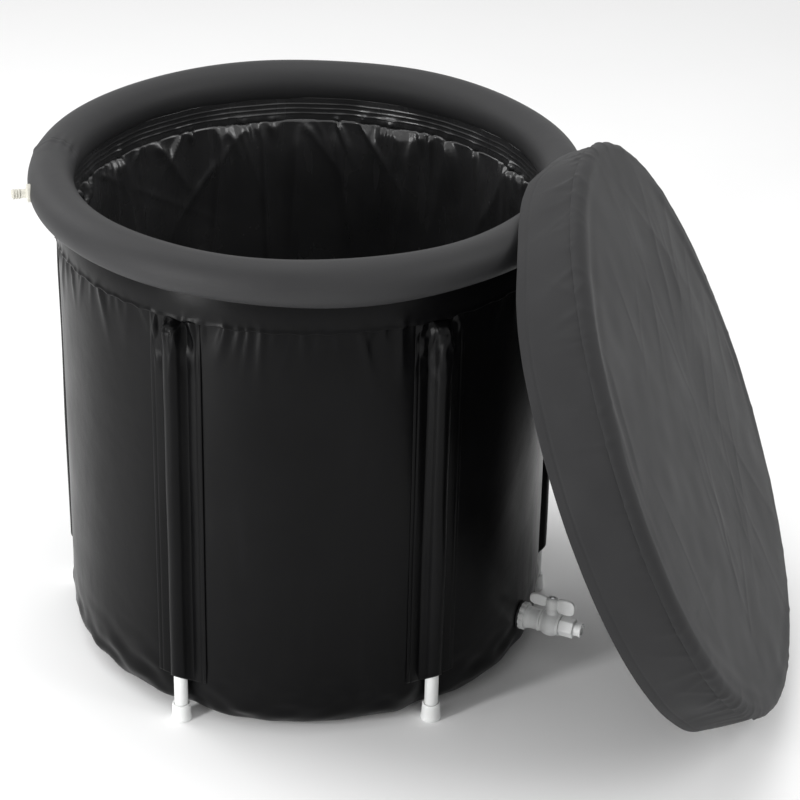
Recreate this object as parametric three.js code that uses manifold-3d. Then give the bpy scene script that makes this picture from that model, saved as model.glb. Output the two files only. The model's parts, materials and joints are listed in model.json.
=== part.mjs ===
// Portable cold plunge tub: a soft round tub under an inflated ring, held up by six poles in sleeves,
// with a quarter-turn drain valve and a padded cap cover leaning on its side.
// Millimetres, +Z up. The origin is the centre of the base on the floor, and +X runs along the drain.
import * as THREE from 'three';
import { mergeVertices } from 'three/addons/utils/BufferGeometryUtils.js';
import Module from 'manifold-3d';

const wasm = await Module();
wasm.setup();

const { degToRad, lerp, smoothstep } = THREE.MathUtils;

// Clearances
const seatGap = 0.3; // rigid pieces that touch
const skinGap = 0.4; // soft skins that lie on each other
const slideGap = 0.35; // pieces that turn or slide in each other
const overcut = 1; // how far a cutting or joining form runs past a face

// Inflated ring
const ringRadius = 367; // to the middle of the tube
const tubeRadius = 33;
const ringHeight = 729; // middle of the tube above the floor
const tubeSkin = 2;
const ringSegments = 48;
const tubeSides = 16;

// Walls and floor
const wallInset = 7; // the wall hangs inside the middle of the tube
const wallRadius = ringRadius - wallInset;
const wallSkin = 1.5;
const edgeRadius = 50; // tucked lower edge
const foamThickness = 12;
const linerSkin = 2;
const linerCorner = 40;
const floorSkin = 1.6;
const floorFoam = 8;
const wallSteps = 13; // flats from one pole to the next

// Bands under the ring
const bandSkin = 1.6;
const bandLength = 44; // collar outside, below the ring
const rimLength = 31; // ridged band inside, below the ring
const ridgeHeight = 1.5;
const ridgeCount = 3;
const bandSegments = 48;

// Liner folds
const foldCount = 24;
const foldDepth = 11;
const linerSegments = 90;

// Poles
const poleAngles = [-33.5, 32.5, 87, 141, 195.5, 266.5]; // degrees from the drain, as the soft tub sets them
const poleProud = 4; // the poles stand outside the wall
const poleCircle = wallRadius + poleProud;
const poleRadius = 10;
const poleWall = 1.6;
const poleRoom = 22.5; // from the pole's top up to the gathered seam
const footRadius = 15;
const footNeck = 12.6;
const footHeight = 27;
const footSole = 5;
const footEdge = 1.5;
const capWall = 1;
const capHeight = 14;
const sleeveSkin = 1.5;
const sleeveHalfWidth = 40;
const sleeveBulge = 19; // half the width that stands off the wall
const sleeveBottom = 58;
const sleeveBevel = 35; // degrees up towards the outside
const dentWidth = 26; // how wide the pole presses into the wall
const dentRun = 4; // the dent ends this far above the pole's cap
const poleGap = 0.6; // between the wall and the pole's cap

// Drain fitting and ball valve
const drainHeight = 78;
const drainBore = 8;
const tailRadius = 13;
const flangeRadius = 25;
const flangeThickness = 4;
const flangeEdge = 1.5;
const gasketThickness = 2;
const gasketOver = 1; // past the nut's rim
const nutRadius = 21;
const nutThickness = 8;
const nutGrooves = 12;
const nutGrooveDepth = 1.6;
const adaptorRadius = 17;
const adaptorLength = 24;
const adaptorSocket = 14;
const adaptorEdge = 1;
const bodyLength = 30;
const bodyRadius = 20; // round ball housing
const collarRadius = 16.5; // the housing's two ends
const chamberRadius = 13.2;
const ballRadius = 12;
const ballBore = 6.8;
const seatLip = 8.6; // bore of the two seats
const seatBite = 1.5; // how far a seat reaches over the ball
const seatBack = 2;
const stemRadius = 5.7;
const stemStep = 1.2; // the stem is slimmer inside the handle
const stemNeckRadius = 8.6;
const stemNeckHeight = 26.5; // above the pipe's axis
const stemTang = 3;
const ringMajor = 5.3;
const ringMinor = 0.75;
const grooveFloor = 4.4;
const grooveHeight = 22; // above the pipe's axis
const hubGap = 0.7; // between the valve's neck and the handle
const hubRadius = 9.6;
const hubHeight = 18;
const hubDome = 4.5;
const earThickness = 7;
const earReach = 36; // from the stem to the tip
const earRoot = 0.8; // sunk in the hub
const smallEar = 9.5; // half its height
const smallEarRise = 36; // middle of the ear above the pipe's axis
const largeEar = 13;
const largeEarRise = 33;
const screwRadius = 3.6;
const screwDrop = 6; // the screw's seat below the hub's top
const screwHead = 4.5;
const screwDome = 1.2;
const screwWell = 3; // counterbore in the hub's top
const hexFlats = 27;
const hexLength = 22;
const nozzleRadius = 10;
const nozzleLength = 12;
const outletBore = 6.5;
const smallSegments = 18;

// Air valve
const airAngle = -142;
const airFlange = 13;
const airFlangeThickness = 2.6;
const airEdge = 0.8;
const airNeck = 6.5;
const airNeckLength = 9;
const airBore = 3.6;
const plugHead = 7.6;
const plugLength = 12;
const plugShank = 9;
const plugRibs = 3;
const plugRibDepth = 1.4;

// Cover
const coverRadius = 424;
const coverHeight = 102;
const coverRound = 14; // rounded top edge, down to the seam
const coverCrown = 3;
const coverSkin = 2;
const bandFabric = 3;
const seamPull = 2.5; // how far the seam draws in
const hemDepth = 62; // from the hem up to the lining
const hemRoom = 2; // between the hem and the ring it rides over
const hemSpread = 24; // degrees over which the hem comes down again
const coverLean = 24.3; // degrees off upright
const coverTurn = 13.9; // degrees from the drain
const coverShift = -76; // sideways along the ring
const coverSegments = 54;

const skins = {
  ring: { color: 0x37383b, roughness: 0.62 },
  wall: { color: 0x0a0a0b, roughness: 0.28 },
  liner: { color: 0x08080a, roughness: 0.22 },
  foam: { color: 0xb9bcc0, roughness: 0.9 },
  white: { color: 0xeceef0, roughness: 0.42 },
  pale: { color: 0xd9d7cf, roughness: 0.45 },
  rubber: { color: 0x1b1b1c, roughness: 0.75 },
  steel: { color: 0xb4b7ba, roughness: 0.35, metalness: 1 },
  cover: { color: 0x2c2d30, roughness: 0.72 },
};

const tub = new THREE.Group();
const drain = new THREE.Group();
const airValve = new THREE.Group();
const cover = new THREE.Group();
tub.add(drain, airValve, cover);

function place(parent, name, geometry, skin) {
  const mesh = new THREE.Mesh(geometry, new THREE.MeshStandardMaterial(skins[skin]));
  mesh.name = name;
  parent.add(mesh);
  return mesh;
}

// A solid of revolution about Z from [radius, height] points, which run counter-clockwise
function revolve(profile, segments) {
  const [firstRadius] = profile[0];
  const points = profile.map(([radius, height]) => new THREE.Vector2(radius, height));
  if (firstRadius > 0) points.push(points[0].clone());
  return new THREE.LatheGeometry(points, segments).rotateX(Math.PI / 2);
}

// A closed ring whose section of [radius, height] points may change with the angle
function loftRing(sectionAt, angles) {
  const positions = [];
  const index = [];
  const turns = angles.length;
  const count = sectionAt(angles[0]).length;
  for (const angle of angles) {
    for (const [radius, height] of sectionAt(angle)) {
      positions.push(radius * Math.cos(angle), radius * Math.sin(angle), height);
    }
  }
  for (let turn = 0; turn < turns; turn++) {
    const here = turn * count;
    const next = ((turn + 1) % turns) * count;
    for (let point = 0; point < count; point++) {
      const after = (point + 1) % count;
      index.push(here + point, next + point, next + after, here + point, next + after, here + after);
    }
  }
  const geometry = new THREE.BufferGeometry();
  geometry.setAttribute('position', new THREE.Float32BufferAttribute(positions, 3));
  geometry.setIndex(index);
  geometry.computeVertexNormals();
  return geometry;
}

function evenAngles(count, start = 0) {
  return Array.from({ length: count }, (_, step) => start + (2 * Math.PI * step) / count);
}

// A solid for cutting and joining: shared vertices merged, collapsed triangles left out
function solidOf(geometry) {
  const bare = new THREE.BufferGeometry();
  bare.setAttribute('position', geometry.getAttribute('position').clone());
  bare.setIndex(geometry.index ? geometry.index.clone() : null);
  const merged = mergeVertices(bare, 1e-4);
  const corners = merged.index.array;
  const kept = [];
  for (let i = 0; i < corners.length; i += 3) {
    const [a, b, c] = [corners[i], corners[i + 1], corners[i + 2]];
    if (a !== b && b !== c && c !== a) kept.push(a, b, c);
  }
  return new wasm.Manifold(new wasm.Mesh({
    numProp: 3,
    vertProperties: new Float32Array(merged.getAttribute('position').array),
    triVerts: new Uint32Array(kept),
  }));
}

function geometryOf(solid) {
  const mesh = solid.getMesh();
  const geometry = new THREE.BufferGeometry();
  geometry.setAttribute('position', new THREE.Float32BufferAttribute(mesh.vertProperties, 3));
  geometry.setIndex(Array.from(mesh.triVerts));
  geometry.computeVertexNormals();
  return geometry;
}

function cut(geometry, ...tools) {
  return geometryOf(tools.reduce((solid, tool) => solid.subtract(solidOf(tool)), solidOf(geometry)));
}

function join(...geometries) {
  return geometryOf(geometries.map(solidOf).reduce((solid, next) => solid.add(next)));
}

// A round bar along X from one place to another
function barAlongX(radius, from, to, segments = smallSegments) {
  const bar = new THREE.CylinderGeometry(radius, radius, to - from, segments);
  return bar.rotateZ(-Math.PI / 2).translate((from + to) / 2, 0, 0);
}

function revolveAlongX(profile, segments = smallSegments) {
  return revolve(profile, segments).rotateY(Math.PI / 2);
}

// Underside of the ring's tube at a radius from the tub's axis
function ringUnderside(radius) {
  return ringHeight - Math.sqrt(tubeRadius ** 2 - (radius - ringRadius) ** 2) - seatGap;
}

function poleAngle(pole) {
  return degToRad(poleAngles[pole]);
}

// The wall lies round between the poles and gives way where a pole presses on it
const cappedRadius = poleRadius + seatGap + capWall;
const dentDepth = wallRadius - (poleCircle - cappedRadius - poleGap);
const collarTop = ringUnderside(wallRadius);
const collarLow = collarTop - bandLength;
const poleTop = collarLow - poleRoom;
const dentFadeLow = poleTop + capWall + dentRun;

function wallRadiusAt(angle, height) {
  let press = 0;
  for (let pole = 0; pole < poleAngles.length; pole++) {
    const turn = angle - poleAngle(pole);
    const arc = Math.atan2(Math.sin(turn), Math.cos(turn)) * wallRadius;
    press += Math.exp(-((arc / dentWidth) ** 2));
  }
  return wallRadius - dentDepth * press * (1 - smoothstep(height, dentFadeLow, collarLow));
}

const wallAngles = poleAngles.flatMap((from, pole) => {
  const next = poleAngles[pole + 1] ?? poleAngles[0] + 360;
  return Array.from({ length: wallSteps }, (_, step) => degToRad(lerp(from, next, step / wallSteps)));
});
const wallTop = ringUnderside(wallRadius - wallSkin) - seatGap;
const foamOuter = wallSkin + skinGap;
const linerRadius = wallRadius - foamOuter - foamThickness - skinGap;
const floorLevel = 2 * floorSkin + floorFoam + 2 * skinGap;

function wallSection(angle) {
  const steps = 3;
  const outer = [];
  const inner = [];
  for (let step = 0; step <= steps; step++) {
    const bend = (Math.PI / 2) * (step / steps);
    const radius = wallRadiusAt(angle, edgeRadius) - edgeRadius;
    outer.push([radius + edgeRadius * Math.sin(bend), edgeRadius - edgeRadius * Math.cos(bend)]);
    const bore = edgeRadius - wallSkin;
    inner.push([radius + bore * Math.sin(bend), edgeRadius - bore * Math.cos(bend)]);
  }
  for (const height of [dentFadeLow, collarLow, wallTop]) {
    outer.push([wallRadiusAt(angle, height), height]);
    inner.push([wallRadiusAt(angle, height) - wallSkin, height]);
  }
  return [...outer, ...inner.reverse()];
}

function foamSection(angle) {
  const top = wallTop - seatGap;
  const outer = wallRadiusAt(angle, edgeRadius) - foamOuter;
  const inner = linerRadius + skinGap;
  return [[outer, edgeRadius], [outer, top], [inner, top], [inner, edgeRadius]];
}

// The liner hangs in folds that are deepest below the rim and die out towards the floor
const rimTop = ringUnderside(linerRadius) - seatGap;
const linerTop = rimTop - rimLength - seatGap;

function foldAt(angle) {
  const wave = 0.5 + 0.5 * Math.cos(foldCount * angle + 0.7 * Math.sin(3 * angle));
  return foldDepth * wave * (0.7 + 0.3 * Math.sin(5 * angle + 1));
}

function linerSection(angle) {
  const fold = foldAt(angle);
  const hang = [[0.22, 0.12], [0.6, 0.55], [0.93, 1]];
  const low = floorLevel + linerCorner;
  const outer = [[linerRadius - linerCorner, floorLevel], [linerRadius, low]];
  const inner = [[linerRadius - linerCorner, floorLevel + linerSkin], [linerRadius - linerSkin, low]];
  for (const [share, depth] of hang) {
    const height = lerp(low, linerTop, share);
    outer.push([linerRadius - fold * depth, height]);
    inner.push([linerRadius - linerSkin - fold * depth, height]);
  }
  outer.push([linerRadius, linerTop]);
  inner.push([linerRadius - linerSkin, linerTop]);
  return [...outer, ...inner.reverse()];
}

function disc(radius, low, thickness, segments = bandSegments) {
  return revolve([[0, low], [radius, low], [radius, low + thickness], [0, low + thickness]], segments);
}

// Soft tub: skins, foam and bands
function buildTub() {
  const passage = barAlongX(tailRadius + slideGap, linerRadius - edgeRadius, wallRadius + edgeRadius);
  passage.translate(0, 0, drainHeight);
  place(tub, 'outer_wall', cut(loftRing(wallSection, wallAngles), passage), 'wall');
  place(tub, 'wall_insulation', cut(loftRing(foamSection, wallAngles), passage), 'foam');
  place(tub, 'inner_liner', cut(loftRing(linerSection, evenAngles(linerSegments)), passage), 'liner');

  const baseRadius = wallRadius - dentDepth - edgeRadius - seatGap;
  place(tub, 'base_panel', disc(baseRadius, 0, floorSkin), 'wall');
  place(tub, 'base_insulation', disc(baseRadius, floorSkin + skinGap, floorFoam), 'foam');
  const floorRadius = linerRadius - linerCorner - seatGap;
  place(tub, 'liner_floor', disc(floorRadius, floorLevel, floorSkin), 'liner');

  const chord = Math.cos(Math.PI / bandSegments);
  const collarBore = (wallRadius + skinGap) / chord;
  place(tub, 'ring_collar', revolve([
    [collarBore, collarLow],
    [collarBore + bandSkin, collarLow],
    [collarBore + bandSkin, ringUnderside(collarBore + bandSkin)],
    [collarBore, ringUnderside(collarBore)],
  ], bandSegments), 'wall');
  place(tub, 'rim_band', revolve(rimProfile(), bandSegments), 'liner');
}

function rimProfile() {
  const bore = linerRadius - bandSkin;
  const pitch = rimLength / (ridgeCount + 1);
  const profile = [[bore, rimTop - rimLength], [linerRadius, rimTop - rimLength], [linerRadius, rimTop]];
  profile.push([bore, rimTop]);
  for (let ridge = 0; ridge < ridgeCount; ridge++) {
    const middle = rimTop - pitch * (ridge + 0.7);
    profile.push([bore, middle + pitch / 4], [bore - ridgeHeight, middle], [bore, middle - pitch / 4]);
  }
  return profile;
}

function buildRing() {
  const skin = new THREE.TorusGeometry(ringRadius, tubeRadius, tubeSides, ringSegments);
  const air = new THREE.TorusGeometry(ringRadius, tubeRadius - tubeSkin, tubeSides / 2, ringSegments);
  const hole = barAlongX(airBore, ringRadius, ringRadius + 2 * tubeRadius, 12);
  hole.rotateZ(degToRad(airAngle));
  place(tub, 'air_ring', cut(skin, air, hole).translate(0, 0, ringHeight), 'ring');
}

// One pole with its foot, top cap and sleeve, placed on the pole circle
function poleProfile() {
  const bore = poleRadius - poleWall;
  return [[bore, footSole + seatGap], [poleRadius, footSole + seatGap], [poleRadius, poleTop], [bore, poleTop]];
}

function footProfile() {
  const bore = poleRadius + seatGap;
  return [[0, 0], [footRadius - footEdge, 0], [footRadius, footEdge], [footRadius, footSole], [footNeck, footHeight],
    [bore, footHeight], [bore, footSole], [0, footSole]];
}

function poleCapProfile() {
  const bore = poleRadius + seatGap;
  const low = poleTop - capHeight;
  const crown = poleTop + seatGap;
  return [[0, crown], [bore, crown], [bore, low], [bore + capWall, low], [bore + capWall, crown],
    [0, crown + capWall]];
}

// The sleeve lies on the wall at both edges and goes over the pole's outer side between them
function sleeveShape() {
  const steps = 12;
  const stations = Array.from({ length: steps + 1 }, (_, step) => lerp(-sleeveBulge, sleeveBulge, step / steps));
  const inner = [];
  const outer = [];
  const hollow = cappedRadius + skinGap;
  for (const across of [-sleeveHalfWidth, ...stations, sleeveHalfWidth]) {
    const angle = across / wallRadius;
    const flat = wallRadiusAt(poleAngle(0) + angle, edgeRadius) + 3 * skinGap;
    const slope = (Math.abs(across) - hollow) / (sleeveBulge - hollow);
    const over = poleCircle + Math.sqrt(Math.max(hollow ** 2 - across ** 2, 0));
    const tent = lerp(poleCircle + hollow * 0.35, flat, smoothstep(slope, -0.25, 1));
    const radius = Math.max(flat, over, tent);
    inner.push(new THREE.Vector2(radius * Math.cos(angle), radius * Math.sin(angle)));
    const skin = radius + sleeveSkin;
    outer.push(new THREE.Vector2(skin * Math.cos(angle), skin * Math.sin(angle)));
  }
  return new THREE.Shape([...outer, ...inner.reverse()]);
}

function buildPoles() {
  const top = collarLow - 2 * seatGap;
  const sleeve = new THREE.ExtrudeGeometry(sleeveShape(), {
    depth: top - sleeveBottom,
    bevelEnabled: false,
  }).translate(0, 0, sleeveBottom);
  const trim = new THREE.BoxGeometry(8 * poleRadius, 4 * sleeveHalfWidth, 4 * poleRadius);
  trim.translate(0, 0, -2 * poleRadius).rotateY(-degToRad(sleeveBevel));
  trim.translate(wallRadius - dentDepth, 0, sleeveBottom);
  const trimmed = cut(sleeve, trim);
  for (let pole = 0; pole < poleAngles.length; pole++) {
    const station = new THREE.Group();
    station.rotation.z = poleAngle(pole);
    tub.add(station);
    place(station, `pole_sleeve_${pole + 1}`, trimmed, 'wall');
    const pieces = [
      [`pole_${pole + 1}`, revolve(poleProfile(), 12), 'white'],
      [`pole_foot_${pole + 1}`, revolve(footProfile(), 12), 'white'],
      [`pole_cap_${pole + 1}`, revolve(poleCapProfile(), 12), 'white'],
    ];
    for (const [name, geometry, skin] of pieces) {
      place(station, name, geometry, skin).position.x = poleCircle;
    }
  }
}

// Drain fitting: the bulkhead clamps liner, foam and wall, and the valve screws on its tail
const flangeSag = flangeRadius ** 2 / (2 * linerRadius);
const gasketInner = linerRadius - linerSkin - flangeSag - gasketThickness - seatGap;
const gasketOuter = wallRadius + seatGap;
const nutStart = gasketOuter + gasketThickness + seatGap;
const adaptorStart = nutStart + nutThickness + seatGap;
const adaptorEnd = adaptorStart + adaptorLength;
const bodyStart = adaptorEnd + seatGap;
const bodyEnd = bodyStart + bodyLength;
const ballPlace = bodyStart + bodyLength / 2;
const seatStart = ballPlace - ballRadius + seatBite;
const hexStart = bodyEnd + seatGap;
const nozzleStart = hexStart + hexLength;
const outletEnd = nozzleStart + nozzleLength;

function washer(from, thickness) {
  const bore = tailRadius + slideGap;
  const face = nutRadius + gasketOver;
  const profile = [[bore, from], [face, from], [face, from + thickness], [bore, from + thickness]];
  return revolveAlongX(profile);
}

function lockNut() {
  const outline = new THREE.Shape();
  const corners = nutGrooves * 4;
  for (let corner = 0; corner < corners; corner++) {
    const angle = (2 * Math.PI * corner) / corners;
    const radius = corner % 4 < 2 ? nutRadius : nutRadius - nutGrooveDepth;
    const point = [radius * Math.cos(angle), radius * Math.sin(angle)];
    if (corner === 0) outline.moveTo(...point);
    else outline.lineTo(...point);
  }
  outline.holes.push(new THREE.Path().absarc(0, 0, tailRadius + slideGap, 0, 2 * Math.PI, true));
  const nut = new THREE.ExtrudeGeometry(outline, { depth: nutThickness, bevelEnabled: false, curveSegments: 20 });
  return nut.rotateY(Math.PI / 2).translate(nutStart, 0, 0);
}

function bulkhead() {
  const flangeStart = gasketInner - seatGap - flangeThickness;
  const tailEnd = adaptorStart + adaptorSocket - seatGap;
  return revolveAlongX([
    [drainBore, flangeStart],
    [flangeRadius - flangeEdge, flangeStart],
    [flangeRadius, flangeStart + flangeEdge],
    [flangeRadius, flangeStart + flangeThickness],
    [tailRadius, flangeStart + flangeThickness],
    [tailRadius, tailEnd],
    [drainBore, tailEnd],
  ]);
}

function adaptor() {
  const socket = tailRadius + slideGap;
  return revolveAlongX([
    [socket, adaptorStart],
    [adaptorRadius - adaptorEdge, adaptorStart],
    [adaptorRadius, adaptorStart + adaptorEdge],
    [adaptorRadius, adaptorEnd],
    [drainBore, adaptorEnd],
    [drainBore, adaptorStart + adaptorSocket],
    [socket, adaptorStart + adaptorSocket],
  ]);
}

function valveBody() {
  const housing = new THREE.SphereGeometry(bodyRadius, smallSegments, 10).translate(ballPlace, 0, 0);
  const ends = barAlongX(collarRadius, bodyStart, bodyEnd);
  const span = barAlongX(2 * bodyRadius, bodyStart, bodyEnd);
  const neck = new THREE.CylinderGeometry(stemNeckRadius, stemNeckRadius, stemNeckHeight, smallSegments);
  neck.rotateX(Math.PI / 2).translate(ballPlace, 0, stemNeckHeight / 2);
  const inlet = barAlongX(drainBore, bodyStart - overcut, ballPlace);
  const chamber = barAlongX(chamberRadius, seatStart - seatBack - slideGap, bodyEnd + overcut);
  const wellRadius = stemRadius + 2 * seatGap;
  const well = new THREE.CylinderGeometry(wellRadius, wellRadius, 2 * stemNeckHeight, smallSegments);
  well.rotateX(Math.PI / 2).translate(ballPlace, 0, stemNeckHeight + stemTang);
  const shell = solidOf(housing).intersect(solidOf(span));
  const body = shell.add(solidOf(ends)).add(solidOf(neck));
  return cut(geometryOf(body), inlet, chamber, well);
}

// One seat: its dished face follows the ball
function seatProfile() {
  const rim = chamberRadius - slideGap;
  const ballFace = (radius) => -Math.sqrt(ballRadius ** 2 - radius ** 2) - slideGap;
  const back = seatStart - seatBack - ballPlace;
  const front = Math.sqrt(ballRadius ** 2 - (stemRadius + slideGap) ** 2);
  const middle = (seatLip + front) / 2;
  return [[seatLip, back], [rim, back], [rim, ballFace(front)], [front, ballFace(front)],
    [middle, ballFace(middle)], [seatLip, ballFace(seatLip)]];
}

function valveBall() {
  const ball = new THREE.SphereGeometry(ballRadius, smallSegments, 10);
  const bore = barAlongX(ballBore, -2 * ballRadius, 2 * ballRadius);
  const slot = new THREE.BoxGeometry(stemTang + 2 * slideGap, 3 * ballRadius, 2 * stemTang);
  slot.translate(0, 0, ballRadius);
  return cut(ball, bore, slot).translate(ballPlace, 0, 0);
}

function stemTop() {
  return stemNeckHeight + hubHeight - screwDrop;
}

function valveStem() {
  const shoulder = ballRadius + slideGap;
  const shaftEnd = stemNeckHeight + hubGap - seatGap;
  const top = stemTop();
  const gap = ringMinor + slideGap;
  const shaft = revolve([
    [0, shoulder],
    [stemRadius, shoulder],
    [stemRadius, grooveHeight - gap],
    [grooveFloor, grooveHeight - gap],
    [grooveFloor, grooveHeight + gap],
    [stemRadius, grooveHeight + gap],
    [stemRadius, shaftEnd],
    [stemRadius - stemStep, shaftEnd],
    [stemRadius - stemStep, top],
    [0, top],
  ], smallSegments);
  const tang = new THREE.BoxGeometry(stemTang, 2 * stemRadius - stemTang, stemTang + overcut);
  tang.translate(0, 0, shoulder - (stemTang - overcut) / 2);
  return join(shaft, tang).translate(ballPlace, 0, 0);
}

// Butterfly handle: a domed hub with a small ear over the inlet and a large ear over the outlet
function valveHandle() {
  const low = stemNeckHeight + hubGap;
  const hub = revolve([
    [0, low],
    [hubRadius, low],
    [hubRadius, low + hubHeight - hubDome],
    [hubRadius - 0.4 * hubDome, low + hubHeight - 0.3 * hubDome],
    [hubRadius - hubDome, low + hubHeight],
    [0, low + hubHeight],
  ], smallSegments);
  const ears = [[-1, smallEar, smallEarRise], [1, largeEar, largeEarRise]].map(([side, height, middle]) => {
    const half = (earReach - hubRadius + earRoot) / 2;
    const ear = new THREE.Shape().absellipse(side * (earReach - half), middle, half, height, 0, 2 * Math.PI);
    const plate = new THREE.ExtrudeGeometry(ear, { depth: earThickness, bevelEnabled: false, curveSegments: 9 });
    return plate.rotateX(Math.PI / 2).translate(0, earThickness / 2, 0);
  });
  const bore = stemRadius - stemStep + slideGap;
  const socket = new THREE.CylinderGeometry(bore, bore, 2 * hubHeight, smallSegments);
  socket.rotateX(Math.PI / 2).translate(0, 0, stemNeckHeight);
  const wellRadius = screwRadius + 2 * seatGap;
  const seat = new THREE.CylinderGeometry(wellRadius, wellRadius, 2 * screwWell, smallSegments);
  seat.rotateX(Math.PI / 2).translate(0, 0, low + hubHeight);
  return cut(join(hub, ...ears), socket, seat).translate(ballPlace, 0, 0);
}

function handleScrew() {
  const seat = stemTop() + seatGap;
  return revolve([
    [0, seat],
    [screwRadius, seat],
    [screwRadius, seat + screwHead - screwDome],
    [screwRadius - screwDome, seat + screwHead],
    [0, seat + screwHead],
  ], 14).translate(ballPlace, 0, 0);
}

function drainOutlet() {
  const spigotStart = 2 * ballPlace - seatStart + seatBack + seatGap;
  const spigot = barAlongX(chamberRadius - slideGap, spigotStart, hexStart + overcut);
  const block = new THREE.CylinderGeometry(hexFlats / Math.sqrt(3), hexFlats / Math.sqrt(3), hexLength, 6);
  block.rotateZ(-Math.PI / 2).translate(hexStart + hexLength / 2, 0, 0);
  const nozzle = barAlongX(nozzleRadius, nozzleStart - overcut, outletEnd);
  const bore = barAlongX(outletBore, spigotStart - overcut, outletEnd + overcut);
  return cut(join(spigot, block, nozzle), bore);
}

function buildDrain() {
  drain.position.z = drainHeight;
  place(drain, 'drain_inner_flange', bulkhead(), 'white');
  place(drain, 'drain_gasket_inner', washer(gasketInner, gasketThickness), 'rubber');
  place(drain, 'drain_gasket_outer', washer(gasketOuter, gasketThickness), 'rubber');
  place(drain, 'drain_lock_nut', lockNut(), 'white');
  place(drain, 'drain_adaptor', adaptor(), 'white');
  place(drain, 'valve_body', valveBody(), 'white');
  place(drain, 'valve_seat_inlet', revolveAlongX(seatProfile()).translate(ballPlace, 0, 0), 'pale');
  const farSeat = revolveAlongX(seatProfile()).rotateZ(Math.PI).translate(ballPlace, 0, 0);
  place(drain, 'valve_seat_outlet', farSeat, 'pale');
  place(drain, 'valve_ball', valveBall(), 'white');
  place(drain, 'valve_stem', valveStem(), 'white');
  const oRing = new THREE.TorusGeometry(ringMajor, ringMinor, 6, smallSegments);
  place(drain, 'stem_o_ring', oRing.translate(ballPlace, 0, grooveHeight), 'rubber');
  place(drain, 'valve_handle', valveHandle(), 'white');
  place(drain, 'handle_screw', handleScrew(), 'steel');
  place(drain, 'drain_outlet', drainOutlet(), 'white');
}

// Air valve: the flange is saddled to the ring's tube, and the ribbed plug closes its neck
function buildAirValve() {
  const face = ringRadius + tubeRadius;
  const flangeTop = face + airFlangeThickness;
  const base = revolveAlongX([
    [airBore, face - airFlange],
    [airFlange, face - airFlange],
    [airFlange, flangeTop - airEdge],
    [airFlange - airEdge, flangeTop],
    [airNeck, flangeTop],
    [airNeck, flangeTop + airNeckLength],
    [airBore, flangeTop + airNeckLength],
  ], 16);
  const saddle = new THREE.TorusGeometry(ringRadius, tubeRadius + seatGap, 2 * tubeSides, 2 * ringSegments);
  saddle.rotateZ(-degToRad(airAngle));
  airValve.position.z = ringHeight;
  airValve.rotation.z = degToRad(airAngle);
  place(airValve, 'air_valve_base', cut(base, saddle), 'pale');

  const headStart = flangeTop + airNeckLength + seatGap;
  const shank = airBore - slideGap;
  const plug = [[0, headStart - plugShank], [shank, headStart - plugShank], [shank, headStart]];
  const pitch = plugLength / plugRibs;
  for (let rib = 0; rib < plugRibs; rib++) {
    const from = headStart + rib * pitch;
    plug.push([plugHead, from], [plugHead, from + 0.55 * pitch], [plugHead - plugRibDepth, from + 0.65 * pitch]);
    plug.push([plugHead - plugRibDepth, from + 0.95 * pitch]);
  }
  plug.push([0, headStart + plugLength]);
  place(airValve, 'air_valve_plug', revolveAlongX(plug, 12), 'pale');
}

// Cover: a padded disc with a deep side band, open underneath, leaning with the ring inside its hem
const lean = degToRad(coverLean);
const turn = degToRad(coverTurn);
const coverSide = new THREE.Vector3(-Math.sin(turn), Math.cos(turn), 0);
const coverOut = new THREE.Vector3(Math.cos(turn) * Math.cos(lean), Math.sin(turn) * Math.cos(lean), Math.sin(lean));
const coverUp = new THREE.Vector3().crossVectors(coverOut, coverSide);
const ringReach = ringRadius * Math.cos(lean) + ringHeight * Math.sin(lean) + tubeRadius;
const coverRise = coverRadius * Math.cos(lean);
const coverAway = (ringReach + 2 * seatGap - hemDepth - coverRise * Math.sin(lean)) / Math.cos(lean);
const coverCentre = new THREE.Vector3(Math.cos(turn) * coverAway, Math.sin(turn) * coverAway, coverRise);
coverCentre.addScaledVector(coverSide, coverShift);
const seamHeight = coverHeight - coverRound;
const padRadius = coverRadius - bandFabric - seamPull - 3 * seatGap;

// Where the band's hem meets the ring it rides up over the tube
function hemClear(angle) {
  let lift = 0;
  for (const radius of [coverRadius, coverRadius - bandFabric]) {
    for (let height = 0; height < hemDepth; height++) {
      const point = coverCentre.clone().addScaledVector(coverOut, height);
      point.addScaledVector(coverSide, radius * Math.cos(angle));
      point.addScaledVector(coverUp, radius * Math.sin(angle));
      const away = Math.hypot(Math.hypot(point.x, point.y) - ringRadius, point.z - ringHeight);
      if (away < tubeRadius + hemRoom) lift = Math.max(lift, height + 1);
    }
  }
  return lift;
}

const coverAngles = evenAngles(coverSegments, -Math.PI / 2);
const hemLifts = coverAngles.map(hemClear);

function hemLift(angle) {
  const spread = degToRad(hemSpread);
  let lift = 0;
  coverAngles.forEach((other, place) => {
    const apart = Math.abs(Math.atan2(Math.sin(angle - other), Math.cos(angle - other)));
    const share = Math.min(1, 1.25 * Math.max(0, Math.cos((Math.PI / 2) * Math.min(1, apart / spread))));
    lift = Math.max(lift, hemLifts[place] * share);
  });
  return lift;
}

function bandSection(angle) {
  const hem = hemLift(angle);
  const top = seamHeight - seatGap;
  const middle = lerp(hem, top, 0.5);
  const drawn = coverRadius - seamPull;
  return [[coverRadius, hem], [coverRadius, middle], [drawn, top], [drawn - bandFabric, top],
    [coverRadius - bandFabric, middle], [coverRadius - bandFabric, hem]];
}

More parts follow.
